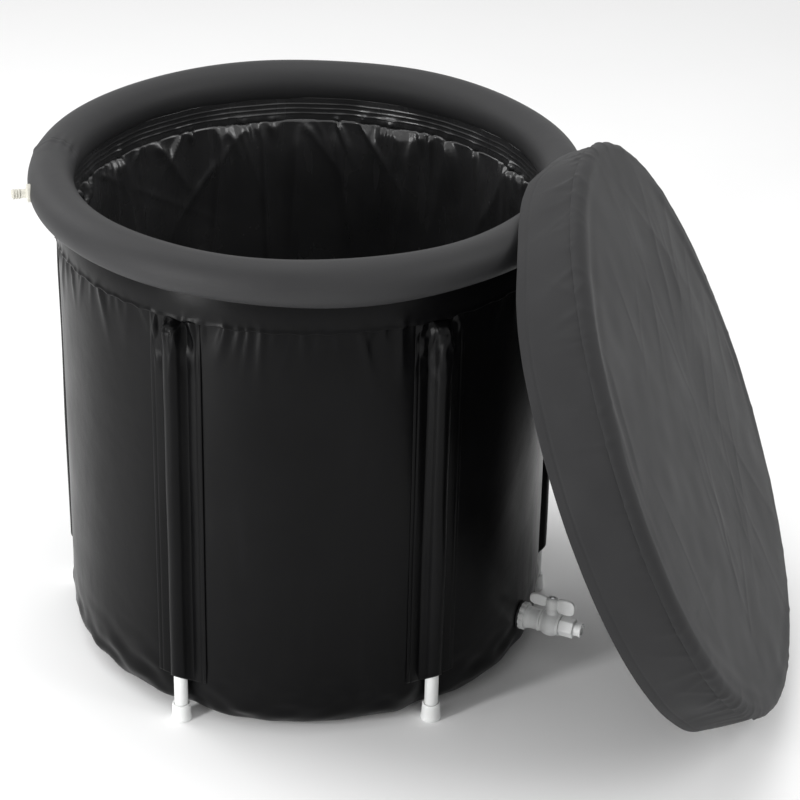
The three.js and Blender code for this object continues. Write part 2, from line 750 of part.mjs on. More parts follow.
function topPanelProfile() {
  const drawn = coverRadius - seamPull;
  const under = coverHeight - coverSkin;
  return [[0, under], [coverRadius - coverRound, under], [drawn - coverSkin, seamHeight], [drawn, seamHeight],
    [coverRadius, seamHeight + 0.35 * coverRound], [coverRadius - 0.25 * coverRound, coverHeight - 0.25 * coverRound],
    [coverRadius - coverRound, coverHeight], [0.6 * coverRadius, coverHeight + 0.8 * coverCrown],
    [0, coverHeight + coverCrown]];
}

function padProfile() {
  const low = hemDepth + bandSkin + skinGap;
  const high = coverHeight - coverSkin - skinGap;
  const shoulder = coverRadius - coverRound - 2 * coverSkin;
  return [[0, low], [padRadius, low], [padRadius, seamHeight - coverSkin], [shoulder, high], [0, high]];
}

function buildCover() {
  cover.matrixAutoUpdate = false;
  cover.matrix.makeBasis(coverSide, coverUp, coverOut).setPosition(coverCentre);
  cover.matrix.decompose(cover.position, cover.quaternion, cover.scale);
  cover.matrixAutoUpdate = true;
  place(cover, 'cover_top_panel', revolve(topPanelProfile(), coverSegments), 'cover');
  place(cover, 'cover_side_band', loftRing(bandSection, coverAngles), 'cover');
  place(cover, 'cover_pad', revolve(padProfile(), coverSegments), 'foam');
  place(cover, 'cover_lining', disc(padRadius, hemDepth, bandSkin, coverSegments), 'cover');
}

buildTub();
buildRing();
buildPoles();
buildDrain();
buildAirValve();
buildCover();

export default tub;
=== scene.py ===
import json
import math

import bpy
import numpy as np
from mathutils import Matrix, Vector


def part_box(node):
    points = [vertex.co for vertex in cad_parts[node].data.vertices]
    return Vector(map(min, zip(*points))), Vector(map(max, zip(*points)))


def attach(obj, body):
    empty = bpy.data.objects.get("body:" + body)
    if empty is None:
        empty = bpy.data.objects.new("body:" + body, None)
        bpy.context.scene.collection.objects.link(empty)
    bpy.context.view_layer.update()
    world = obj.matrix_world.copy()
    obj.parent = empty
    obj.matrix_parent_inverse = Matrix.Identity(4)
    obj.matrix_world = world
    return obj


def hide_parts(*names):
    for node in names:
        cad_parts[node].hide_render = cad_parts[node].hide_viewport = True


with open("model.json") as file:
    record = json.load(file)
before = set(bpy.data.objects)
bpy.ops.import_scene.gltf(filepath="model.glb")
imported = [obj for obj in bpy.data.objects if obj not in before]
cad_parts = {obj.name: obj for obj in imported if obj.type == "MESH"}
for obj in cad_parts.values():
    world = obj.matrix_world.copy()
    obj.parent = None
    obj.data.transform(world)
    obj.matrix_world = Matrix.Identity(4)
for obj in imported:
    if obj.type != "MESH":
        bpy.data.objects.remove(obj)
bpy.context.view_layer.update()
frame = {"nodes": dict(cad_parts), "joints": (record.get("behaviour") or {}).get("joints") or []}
print("frame loaded:", len(frame["nodes"]), "nodes")


# tools that every piece uses

def clearSelection():
    if bpy.context.object and bpy.context.object.mode == "EDIT":
        bpy.ops.object.mode_set(mode="OBJECT")
    bpy.ops.object.select_all(action="DESELECT")


def pickPiece(piece):
    clearSelection()
    piece.select_set(True)
    bpy.context.view_layer.objects.active = piece


def applyModifiers(piece):
    pickPiece(piece)
    for modifier in list(piece.modifiers):
        bpy.ops.object.modifier_apply(modifier=modifier.name)


def meshPoints(piece):
    points = np.empty(len(piece.data.vertices) * 3, np.float32)
    piece.data.vertices.foreach_get("co", points)
    return points.reshape(-1, 3).astype(float)


def setPoints(piece, points):
    piece.data.vertices.foreach_set("co", np.ascontiguousarray(points, np.float32).ravel())
    piece.data.update()


def namePiece(name):
    piece = bpy.context.object
    piece.name = name
    piece.data.name = name
    return piece


# a fine grid laid out by a shape function of its two directions, both from 0 to 1
def clothGrid(name, across, along, shape, flip=False):
    clearSelection()
    bpy.ops.mesh.primitive_grid_add(x_subdivisions=across, y_subdivisions=along, size=2)
    piece = namePiece(name)
    flat = (meshPoints(piece)[:, :2] + 1) / 2
    setPoints(piece, shape(flat[:, 0], flat[:, 1]))
    bpy.ops.object.mode_set(mode="EDIT")
    bpy.ops.mesh.select_all(action="SELECT")
    bpy.ops.mesh.remove_doubles(threshold=0.000002)
    if flip:
        bpy.ops.mesh.flip_normals()
    bpy.ops.object.mode_set(mode="OBJECT")
    bpy.ops.object.shade_smooth()
    return piece


def thicken(piece, skin):
    pickPiece(piece)
    wall = piece.modifiers.new("skin", "SOLIDIFY")
    wall.thickness = skin
    wall.offset = -1
    applyModifiers(piece)
    return piece


def softenEdges(piece, width, steps=2, angle=35):
    pickPiece(piece)
    bevel = piece.modifiers.new("edges", "BEVEL")
    bevel.width = width
    bevel.segments = steps
    bevel.limit_method = "ANGLE"
    bevel.angle_limit = math.radians(angle)
    applyModifiers(piece)
    bpy.ops.object.shade_smooth_by_angle(angle=math.radians(38))
    return piece


# a round piece about Z from radius and height pairs, extruded ring by ring
def turnPiece(name, profile, steps, closed=False):
    clearSelection()
    radius, height = profile[0]
    bpy.ops.mesh.primitive_circle_add(vertices=steps, radius=radius)
    piece = namePiece(name)
    bpy.ops.object.mode_set(mode="EDIT")
    bpy.ops.mesh.select_all(action="SELECT")
    bpy.ops.transform.translate(value=(0, 0, height))
    for nextRadius, nextHeight in profile[1:]:
        bpy.ops.mesh.extrude_edges_move(TRANSFORM_OT_translate={"value": (0, 0, nextHeight - height)})
        ratio = nextRadius / radius
        bpy.ops.transform.resize(value=(ratio, ratio, 1), center_override=(0, 0, nextHeight))
        radius, height = nextRadius, nextHeight
    bpy.ops.mesh.select_all(action="SELECT")
    if closed:
        bpy.ops.mesh.remove_doubles(threshold=0.00001)
    else:
        bpy.ops.mesh.fill_holes(sides=0)
    bpy.ops.mesh.normals_make_consistent(inside=False)
    bpy.ops.object.mode_set(mode="OBJECT")
    return piece


# stands the piece's own Z along an axis at a place and bakes that into its mesh
def setPiece(piece, place, axis=(0, 0, 1)):
    turn = Vector((0, 0, 1)).rotation_difference(Vector(axis).normalized()).to_matrix().to_4x4()
    piece.data.transform(Matrix.Translation(place) @ turn)
    piece.data.update()
    return piece


def combine(piece, others, operation):
    for other in others:
        pickPiece(piece)
        step = piece.modifiers.new("step", "BOOLEAN")
        step.operation = operation
        step.solver = "EXACT"
        step.object = other
        applyModifiers(piece)
        bpy.data.objects.remove(other)
    return piece


# melts joined solids into one moulding with soft inner corners
def mould(piece, voxel, rounds):
    pickPiece(piece)
    melt = piece.modifiers.new("melt", "REMESH")
    melt.mode = "VOXEL"
    melt.voxel_size = voxel
    relax = piece.modifiers.new("relax", "SMOOTH")
    relax.factor = 0.5
    relax.iterations = rounds
    applyModifiers(piece)
    bpy.ops.object.shade_smooth()
    return piece


def copyTurned(piece, name, angle):
    twin = piece.copy()
    twin.data = piece.data.copy()
    twin.name = twin.data.name = name
    bpy.context.scene.collection.objects.link(twin)
    twin.data.transform(Matrix.Rotation(angle, 4, "Z"))
    return twin


def dress(piece, finish, stands, body="tub"):
    piece.data.materials.clear()
    piece.data.materials.append(finish)
    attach(piece, body)
    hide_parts(*stands)
    return piece


# a cloth grid with its thickness, dressed for the nodes that it stands for
def clothPiece(name, style, shape, finish, stands, body="tub", flip=False):
    piece = clothGrid(name, *style["steps"], shape, flip)
    thicken(piece, style["skin"])
    return dress(piece, finish, stands, body)


# points from angle, radius and height about Z
def aroundZ(angle, radius, level):
    return np.stack([radius * np.cos(angle), radius * np.sin(angle), np.broadcast_to(level, angle.shape)], 1)


# the same angle between minus and plus half a turn
def wrapTurn(angle):
    return (angle + np.pi) % (2 * np.pi) - np.pi


def bell(value, width):
    return np.exp(-(value / width) ** 2)


# height and inward way of a sheet that starts in a rounded corner and goes on straight up
def cornerRun(along, corner, floor, top):
    curl = corner * np.pi / 2
    run = along * (curl + top - floor - corner)
    bend = np.minimum(run, curl) / corner
    level = floor + np.where(run < curl, corner - corner * np.cos(bend), corner + run - curl)
    return level, corner * (1 - np.sin(bend))


def tubeProfile(bore, outer, low, high):
    return [(bore, low), (outer, low), (outer, high), (bore, high), (bore, low)]


# uneven soft waves over points, one length for each direction
def softWaves(points, lengths, seed, terms=16):
    pick = np.random.default_rng(seed)
    total = np.zeros(len(points))
    for _ in range(terms):
        lean = pick.normal(size=3)
        lean *= pick.uniform(0.6, 1.5) / np.linalg.norm(lean)
        total += np.sin(points @ (2 * np.pi * lean / np.array(lengths)) + pick.uniform(0, 2 * np.pi))
    return total / math.sqrt(terms / 2)


# ridges that start at a seam and die out away from it
def creaseField(angle, away, style):
    pick = np.random.default_rng(style["seed"])
    total = np.zeros(len(angle))
    for crease in range(style["count"]):
        middle = 2 * np.pi * (crease + pick.uniform(-0.45, 0.45)) / style["count"]
        middle += style["bunch"] * np.sin(9 * middle + 1.1)
        reach = pick.uniform(*style["reach"])
        width = pick.uniform(*style["width"])
        rise = pick.uniform(*style["rise"])
        lean = pick.normal() * style["lean"]
        turn = wrapTurn(angle - middle - lean * away)
        spread = width * (1 + style["spread"] * away / reach)
        total += rise * np.exp(-np.abs(turn / spread) ** style["edge"]) * bell(away, reach)
    return total


def smoothStep(value, low, high):
    share = np.clip((value - low) / (high - low), 0, 1)
    return share * share * (3 - 2 * share)


# finishes

def addNode(tree, kind, **values):
    node = tree.nodes.new(kind)
    for label, value in values.items():
        setattr(node, label, value)
    return node


def newGroup(name, inputs, outputs):
    tree = bpy.data.node_groups.new(name, "ShaderNodeTree")
    for label, kind, value in inputs:
        socket = tree.interface.new_socket(label, in_out="INPUT", socket_type=kind)
        if value is not None:
            socket.default_value = value
    for label, kind in outputs:
        tree.interface.new_socket(label, in_out="OUTPUT", socket_type=kind)
    return tree, tree.nodes.new("NodeGroupInput"), tree.nodes.new("NodeGroupOutput")


def mathNode(tree, operation, first, second=None):
    node = addNode(tree, "ShaderNodeMath", operation=operation)
    for place, value in enumerate((first, second)):
        if isinstance(value, (int, float)):
            node.inputs[place].default_value = value
        elif value is not None:
            tree.links.new(value, node.inputs[place])
    return node.outputs[0]


def rangeNode(tree, value, low, high, toLow, toHigh):
    node = addNode(tree, "ShaderNodeMapRange", clamp=True)
    tree.links.new(value, node.inputs["Value"])
    for label, number in (("From Min", low), ("From Max", high), ("To Min", toLow), ("To Max", toHigh)):
        node.inputs[label].default_value = number
    return node.outputs["Result"]


def mixColour(tree, share, first, second):
    node = addNode(tree, "ShaderNodeMix", data_type="RGBA")
    tree.links.new(share, node.inputs["Factor"])
    for place, value in ((6, first), (7, second)):
        if isinstance(value, bpy.types.NodeSocket):
            tree.links.new(value, node.inputs[place])
        else:
            node.inputs[place].default_value = (*value, 1)
    return node.outputs[2]


def noiseNode(tree, vector, scale, detail):
    node = addNode(tree, "ShaderNodeTexNoise")
    node.inputs["Scale"].default_value = scale
    node.inputs["Detail"].default_value = detail
    tree.links.new(vector, node.inputs["Vector"])
    return node


# pebbled grain of coated fabric: small cells broken up by noise
def makeGrainGroup():
    tree, enter, leave = newGroup(
        "coatedGrain",
        [("Vector", "NodeSocketVector", None), ("Scale", "NodeSocketFloat", 900.0)],
        [("Height", "NodeSocketFloat"), ("Patch", "NodeSocketFloat")],
    )
    cells = addNode(tree, "ShaderNodeTexVoronoi", feature="SMOOTH_F1")
    cells.inputs["Smoothness"].default_value = 0.6
    tree.links.new(enter.outputs["Vector"], cells.inputs["Vector"])
    tree.links.new(enter.outputs["Scale"], cells.inputs["Scale"])
    speckle = noiseNode(tree, enter.outputs["Vector"], 1, 4)
    patch = noiseNode(tree, enter.outputs["Vector"], 9, 5)
    tree.links.new(mathNode(tree, "MULTIPLY", enter.outputs["Scale"], 0.45), speckle.inputs["Scale"])
    height = mathNode(tree, "ADD", cells.outputs["Distance"], mathNode(tree, "MULTIPLY", speckle.outputs[0], 0.6))
    tree.links.new(height, leave.inputs["Height"])
    tree.links.new(patch.outputs[0], leave.inputs["Patch"])
    return tree


# dust and rub marks: long thin streaks and a cloudy film
def makeRubGroup():
    tree, enter, leave = newGroup(
        "rubMarks",
        [("Vector", "NodeSocketVector", None), ("Stretch", "NodeSocketVector", (40.0, 40.0, 6.0))],
        [("Mask", "NodeSocketFloat")],
    )
    pull = addNode(tree, "ShaderNodeVectorMath", operation="MULTIPLY")
    tree.links.new(enter.outputs["Vector"], pull.inputs[0])
    tree.links.new(enter.outputs["Stretch"], pull.inputs[1])
    streak = noiseNode(tree, pull.outputs[0], 1, 6)
    cloud = noiseNode(tree, enter.outputs["Vector"], 5, 3)
    lines = rangeNode(tree, streak.outputs[0], 0.52, 0.74, 0, 1)
    film = rangeNode(tree, cloud.outputs[0], 0.4, 0.7, 0, 1)
    tree.links.new(mathNode(tree, "MULTIPLY", lines, film), leave.inputs["Mask"])
    return tree


# plain weave: two crossing sets of threads
def makeWeaveGroup():
    tree, enter, leave = newGroup(
        "plainWeave",
        [("Vector", "NodeSocketVector", None), ("Scale", "NodeSocketFloat", 700.0)],
        [("Height", "NodeSocketFloat"), ("Patch", "NodeSocketFloat")],
    )
    threads = []
    for direction in ("X", "Y"):
        wave = addNode(tree, "ShaderNodeTexWave", wave_type="BANDS", bands_direction=direction)
        wave.inputs["Distortion"].default_value = 1.2
        wave.inputs["Detail"].default_value = 2
        tree.links.new(enter.outputs["Vector"], wave.inputs["Vector"])
        tree.links.new(enter.outputs["Scale"], wave.inputs["Scale"])
        threads.append(wave.outputs["Fac"])
    patch = noiseNode(tree, enter.outputs["Vector"], 7, 6)
    tree.links.new(mathNode(tree, "MAXIMUM", *threads), leave.inputs["Height"])
    tree.links.new(patch.outputs[0], leave.inputs["Patch"])
    return tree


grainGroup = makeGrainGroup()
rubGroup = makeRubGroup()
weaveGroup = makeWeaveGroup()


def newFinish(name):
    finish = bpy.data.materials.new(name)
    finish.use_nodes = True
    tree = finish.node_tree
    shader = tree.nodes["Principled BSDF"]
    place = addNode(tree, "ShaderNodeTexCoord")
    return finish, tree, shader, place.outputs["Object"]


def useGroup(tree, group, vector, **values):
    node = addNode(tree, "ShaderNodeGroup", node_tree=group)
    tree.links.new(vector, node.inputs["Vector"])
    for label, value in values.items():
        node.inputs[label].default_value = value
    return node


def bumpChain(tree, shader, heights):
    normal = None
    for height, depth in heights:
        bump = addNode(tree, "ShaderNodeBump")
        bump.inputs["Strength"].default_value = 1
        bump.inputs["Distance"].default_value = depth
        tree.links.new(height, bump.inputs["Height"])
        if normal:
            tree.links.new(normal, bump.inputs["Normal"])
        normal = bump.outputs["Normal"]
    tree.links.new(normal, shader.inputs["Normal"])


# two tones in patches, with dust where the rub marks are
def wornColour(tree, shader, patch, mask, look, patchTop=0.7):
    tone = mixColour(tree, rangeNode(tree, patch, 0.3, patchTop, 0, 1), look["colour"], look["colourWorn"])
    worn = mathNode(tree, "MULTIPLY", mask, look["dust"])
    tree.links.new(mixColour(tree, worn, tone, look["dustColour"]), shader.inputs["Base Color"])


# coated fabric and vinyl sheet: the ring, the walls and the liner
def vinylFinish(name, look):
    finish, tree, shader, place = newFinish(name)
    grain = useGroup(tree, grainGroup, place, Scale=look["grainScale"])
    rub = useGroup(tree, rubGroup, place, Stretch=look["rubStretch"])
    wornColour(tree, shader, grain.outputs["Patch"], rub.outputs["Mask"], look)
    rough = rangeNode(tree, grain.outputs["Patch"], 0.3, 0.7, *look["rough"])
    rough = mathNode(tree, "ADD", rough, mathNode(tree, "MULTIPLY", rub.outputs["Mask"], look["rubRough"]))
    tree.links.new(rough, shader.inputs["Roughness"])
    ripple = noiseNode(tree, place, look["rippleScale"], 3)
    bumpChain(tree, shader, [(ripple.outputs[0], look["rippleDepth"]), (grain.outputs["Height"], look["grainDepth"])])
    shader.inputs["Specular IOR Level"].default_value = look["specular"]
    return finish


ringVinyl = vinylFinish("ringVinyl", {
    "colour": (0.026, 0.026, 0.027), "colourWorn": (0.031, 0.031, 0.032),
    "dustColour": (0.08, 0.08, 0.082), "dust": 0.1,
    "rough": (0.5, 0.62), "rubRough": 0.1, "grainScale": 850.0, "grainDepth": 0.00012, "rubStretch": (30.0, 30.0, 14.0),
    "rippleScale": 22, "rippleDepth": 0.0005, "specular": 0.2,
})
wallVinyl = vinylFinish("wallVinyl", {
    "colour": (0.002, 0.002, 0.0022), "colourWorn": (0.003, 0.003, 0.0033),
    "dustColour": (0.02, 0.02, 0.0213), "dust": 0.12, "rough": (0.28, 0.36), "rubRough": 0.12,
    "grainScale": 1100.0, "grainDepth": 0.00003, "rubStretch": (46.0, 46.0, 5.0),
    "rippleScale": 20, "rippleDepth": 0.0007, "specular": 0.1,
})
linerVinyl = vinylFinish("linerVinyl", {
    "colour": (0.02, 0.02, 0.0206), "colourWorn": (0.027, 0.027, 0.0278),
    "dustColour": (0.06, 0.06, 0.062), "dust": 0.12,
    "rough": (0.2, 0.3), "rubRough": 0.12, "grainScale": 1000.0, "grainDepth": 0.00003, "rubStretch": (50.0, 50.0, 7.0),
    "rippleScale": 30, "rippleDepth": 0.0014, "specular": 0.7,
})


# woven cover cloth, with the weave turned to lie on the cover's face
def clothFinish(name, look):
    finish, tree, shader, place = newFinish(name)
    turn = addNode(tree, "ShaderNodeMapping")
    turn.inputs["Rotation"].default_value = look["turn"]
    tree.links.new(place, turn.inputs["Vector"])
    weave = useGroup(tree, weaveGroup, turn.outputs["Vector"], Scale=look["weaveScale"])
    rub = useGroup(tree, rubGroup, place, Stretch=look["rubStretch"])
    wornColour(tree, shader, weave.outputs["Patch"], rub.outputs["Mask"], look, 0.72)
    tree.links.new(rangeNode(tree, weave.outputs["Patch"], 0.3, 0.7, *look["rough"]), shader.inputs["Roughness"])
    ripple = noiseNode(tree, place, look["rippleScale"], 4)
    bumpChain(tree, shader, [(ripple.outputs[0], look["rippleDepth"]), (weave.outputs["Height"], look["weaveDepth"])])
    shader.inputs["Specular IOR Level"].default_value = look["specular"]
    shader.inputs["Sheen Weight"].default_value = look["sheen"]
    shader.inputs["Sheen Roughness"].default_value = look["sheenRough"]
    return finish


coverLook = {
    "colour": (0.025, 0.025, 0.026), "colourWorn": (0.029, 0.029, 0.03), "dustColour": (0.05, 0.05, 0.052), "dust": 0.1,
    "rough": (0.58, 0.72), "weaveScale": 420.0, "weaveDepth": 0.00005, "rippleScale": 9, "rippleDepth": 0.0004,
    "rubStretch": (12.0, 12.0, 12.0), "specular": 0.15, "sheen": 0.03, "sheenRough": 0.5,
    "turn": (0.0, math.radians(-65.7), math.radians(-13.9)),
}
coverCloth = clothFinish("coverCloth", coverLook)


# moulded plastic, rubber, foam and metal
def mouldedFinish(name, look):
    finish, tree, shader, place = newFinish(name)
    grain = useGroup(tree, grainGroup, place, Scale=look["grainScale"])
    rub = useGroup(tree, rubGroup, place, Stretch=look["rubStretch"])
    wornColour(tree, shader, grain.outputs["Patch"], rub.outputs["Mask"], look)
    tree.links.new(rangeNode(tree, rub.outputs["Mask"], 0, 1, *look["rough"]), shader.inputs["Roughness"])
    bumpChain(tree, shader, [(grain.outputs["Height"], look["grainDepth"])])
    shader.inputs["Metallic"].default_value = look["metal"]
    return finish


whitePlastic = mouldedFinish("whitePlastic", {
    "colour": (0.86, 0.87, 0.87), "colourWorn": (0.81, 0.82, 0.81), "dustColour": (0.62, 0.61, 0.58), "dust": 0.25,
    "rough": (0.34, 0.52), "grainScale": 1600.0, "grainDepth": 0.00002,
    "rubStretch": (120.0, 120.0, 60.0), "metal": 0.0,
})
palePlastic = mouldedFinish("palePlastic", {
    "colour": (0.6, 0.59, 0.53), "colourWorn": (0.54, 0.52, 0.45), "dustColour": (0.4, 0.38, 0.33), "dust": 0.35,
    "rough": (0.4, 0.55), "grainScale": 1500.0, "grainDepth": 0.00002,
    "rubStretch": (140.0, 140.0, 140.0), "metal": 0.0,
})
blackRubber = mouldedFinish("blackRubber", {
    "colour": (0.012, 0.012, 0.013), "colourWorn": (0.02, 0.02, 0.021), "dustColour": (0.07, 0.07, 0.07), "dust": 0.3,
    "rough": (0.66, 0.8), "grainScale": 1400.0, "grainDepth": 0.00005, "rubStretch": (80.0, 80.0, 80.0), "metal": 0.0,
})
greyFoam = mouldedFinish("greyFoam", {
    "colour": (0.46, 0.47, 0.49), "colourWorn": (0.4, 0.41, 0.43), "dustColour": (0.3, 0.3, 0.31), "dust": 0.3,
    "rough": (0.85, 0.95), "grainScale": 420.0, "grainDepth": 0.0005, "rubStretch": (30.0, 30.0, 30.0), "metal": 0.0,
})
brightSteel = mouldedFinish("brightSteel", {
    "colour": (0.6, 0.61, 0.62), "colourWorn": (0.53, 0.54, 0.55), "dustColour": (0.3, 0.29, 0.28), "dust": 0.3,
    "rough": (0.28, 0.5), "grainScale": 2400.0, "grainDepth": 0.00001, "rubStretch": (300.0, 300.0, 40.0), "metal": 1.0,
})
print("finishes made")


# inflated ring with the weld where its tube is closed

ringLow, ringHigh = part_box("air_ring")
tubeRadius = (ringHigh.z - ringLow.z) / 2
ringLevel = (ringHigh.z + ringLow.z) / 2
ringRadius = ringHigh.x - tubeRadius
ringStyle = {
    "roundSteps": 480, "tubeSteps": 72, "crowd": 1.6, "shrink": 0.0004,
    "swell": 0.0007, "swellLength": (0.28, 0.28, 0.2),
    "weldAngle": math.radians(-160), "weldWidth": 0.011, "weldRise": 0.0009, "weldStep": 0.001,
    "pucker": 0.0011, "puckerReach": 0.02,
    "grooveDepth": 0.0014, "grooveWidth": 0.0012, "groovePlace": 0.0003,
}


def ringUnder(radius):
    return ringLevel - np.sqrt(np.maximum(tubeRadius ** 2 - (radius - ringRadius) ** 2, 0))


def makeRing(style):
    clearSelection()
    bpy.ops.mesh.primitive_torus_add(
        major_segments=style["roundSteps"], minor_segments=style["tubeSteps"],
        major_radius=ringRadius, minor_radius=tubeRadius - style["shrink"],
    )
    ring = namePiece("inflatedRing")
    points = meshPoints(ring)
    radial = np.hypot(points[:, 0], points[:, 1])
    around = np.arctan2(points[:, 2], radial - ringRadius)
    # the rows of faces crowd towards the weld, which is finer than the rest
    turn = wrapTurn(np.arctan2(points[:, 1], points[:, 0]) - style["weldAngle"])
    turn = np.sign(turn) * np.pi * (np.abs(turn) / np.pi) ** style["crowd"]
    angle = style["weldAngle"] + turn
    points[:, 0], points[:, 1] = radial * np.cos(angle), radial * np.sin(angle)
    away = turn * ringRadius
    width, step = style["weldWidth"], style["weldStep"]
    lap = style["weldRise"] * (smoothStep(away, -step, step) - smoothStep(away, width - step, width))
    pucker = style["pucker"] * bell(away - width / 2, style["puckerReach"])
    pucker *= np.sin(11 * around + 2 * np.sin(3 * around))
    groove = -style["grooveDepth"] * bell(away - style["groovePlace"], style["grooveWidth"])
    swell = style["swell"] * softWaves(points, style["swellLength"], 3)
    rise = lap + pucker + groove + swell - style["swell"]
    points[:, 0] += rise * np.cos(around) * np.cos(angle)
    points[:, 1] += rise * np.cos(around) * np.sin(angle)
    points[:, 2] += rise * np.sin(around) + ringLevel
    setPoints(ring, points)
    bpy.ops.object.shade_smooth()
    return ring


dress(makeRing(ringStyle), ringVinyl, stands=["air_ring"])
print("ring made")


# outer wall: dented by the poles, gathered under the collar, tucked at the floor

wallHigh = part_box("outer_wall")[1]
collarLow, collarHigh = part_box("ring_collar")
wallRadius = wallHigh.x
seamLevel = collarLow.z
poleMiddles = [sum(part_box(f"pole_{number}"), Vector()) / 2 for number in range(1, 7)]
poleAngles = [math.atan2(middle.y, middle.x) for middle in poleMiddles]
poleCircle = math.hypot(poleMiddles[0].x, poleMiddles[0].y)
wallStyle = {
    "steps": (620, 130), "skin": 0.0012, "inset": 0.0004, "edge": 0.05, "headroom": 0.0006,
    "dent": 0.0079, "dentWidth": 0.026, "dentFade": 0.635,
    "gathers": {
        "seed": 11, "count": 130, "reach": (0.012, 0.06), "width": (0.006, 0.013), "rise": (0.0008, 0.0045),
        "lean": 0.5, "spread": 0.8, "edge": 1.7, "bunch": 0.02,
    },
    "gatherShare": 0.8, "fadeAbove": 0.01, "fadeLength": 0.012, "waist": 0.0012, "waistReach": 0.03,
    "wave": 0.0009, "waveLength": (0.16, 0.16, 0.9), "waveStart": 0.08,
    "floorWrinkle": 0.0012, "wrinkleLength": (0.05, 0.05, 0.03), "wrinkleLevel": 0.035, "wrinkleReach": 0.05,
}


def wallPress(angle):
    press = np.zeros(len(angle))
    for poleAngle in poleAngles:
        press += bell(wrapTurn(angle - poleAngle) * wallRadius, wallStyle["dentWidth"])
    return press


def wallSurface(angle, level, style=wallStyle):
    flat = aroundZ(angle, wallRadius, level)
    press = wallPress(angle)
    radius = wallRadius - style["inset"] - style["dent"] * press * (1 - smoothStep(level, style["dentFade"], seamLevel))
    away = np.maximum(seamLevel - level, 0)
    started = smoothStep(seamLevel + style["fadeAbove"] - level, 0, style["fadeLength"])
    radius += creaseField(angle, away, style["gathers"]) * started * style["gatherShare"]
    radius -= style["waist"] * bell(away, style["waistReach"])
    calm = 1 - np.clip(press, 0, 1)
    radius += style["wave"] * softWaves(flat, style["waveLength"], 21) * calm * smoothStep(away, 0, style["waveStart"])
    low = bell(level - style["wrinkleLevel"], style["wrinkleReach"])
    radius += style["floorWrinkle"] * softWaves(flat, style["wrinkleLength"], 22) * low * calm
    return radius


def wallShape(across, along):
    angle = 2 * np.pi * across
    level, inward = cornerRun(along, wallStyle["edge"], 0, wallHigh.z - wallStyle["headroom"])
    return aroundZ(angle, wallSurface(angle, level) - inward, level)


clothPiece("outerWall", wallStyle, wallShape, wallVinyl, ["outer_wall"])
print("outer wall made")


# foam between the walls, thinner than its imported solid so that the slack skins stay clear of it

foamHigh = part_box("wall_insulation")[1]
foamStyle = {"steps": (180, 12), "away": 0.0008, "skin": 0.003, "low": 0.11}


def foamShape(across, along):
    angle = 2 * np.pi * across
    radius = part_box("rim_band")[1].x + foamStyle["away"] + foamStyle["skin"]
    level = foamStyle["low"] + along * (foamHigh.z - foamStyle["low"])
    return aroundZ(angle, radius, level)


clothPiece("wallFoam", foamStyle, foamShape, greyFoam, ["wall_insulation"])


# smooth collar between the ring and the gathered seam, with a rolled lower edge

collarStyle = {
    "steps": (620, 36), "skin": 0.0012, "drop": 0.0005, "inset": 0.0002, "tuck": 0.003, "bulge": 0.0016,
    "gatherReach": (0.005, 0.014), "gatherShare": 0.45, "roll": 0.0016, "rollReach": 0.004,
    "ruffle": 0.0011, "ruffles": 61, "ruffleReach": 0.006,
}


def collarShape(across, along):
    angle = 2 * np.pi * across
    style = collarStyle
    low = seamLevel - style["drop"]
    base = collarHigh.x - style["inset"]
    high = ringUnder(base) + style["tuck"]
    level = low + along * (high - low)
    rise = level - low
    radius = base + style["bulge"] * np.sin(np.pi * along) ** 1.2
    ruffle = creaseField(angle, rise, dict(wallStyle["gathers"], reach=style["gatherReach"]))
    radius += style["gatherShare"] * ruffle + style["roll"] * bell(rise, style["rollReach"])
    wave = style["ruffle"] * np.sin(style["ruffles"] * angle + 2 * np.sin(7 * angle))
    level = level + wave * bell(rise, style["ruffleReach"])
    return aroundZ(angle, radius, level)


clothPiece("ringCollar", collarStyle, collarShape, wallVinyl, ["ring_collar"])
print("collar made")


# pole sleeves: pockets welded to the wall along both edges, crumpled where they are caught in the seam

sleeveLow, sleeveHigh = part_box("pole_sleeve_1")
sleeveStyle = {
    "steps": (80, 220), "skin": 0.0008, "half": 0.04, "bulge": 0.019, "lift": 0.0011,
    "bottom": sleeveLow.z, "top": sleeveHigh.z, "bevel": math.radians(35), "shoulder": 0.0118, "over": 0.0016,
    "close": 0.018, "dent": wallStyle["dent"], "crumple": 0.0034, "crumpleLength": (0.022, 0.022, 0.034),
    "crumpleReach": 0.055, "ease": 0.0005, "easeLength": (0.09, 0.09, 0.22),
    "weld": 0.0007, "weldAway": 0.006, "weldWidth": 0.0012,
}


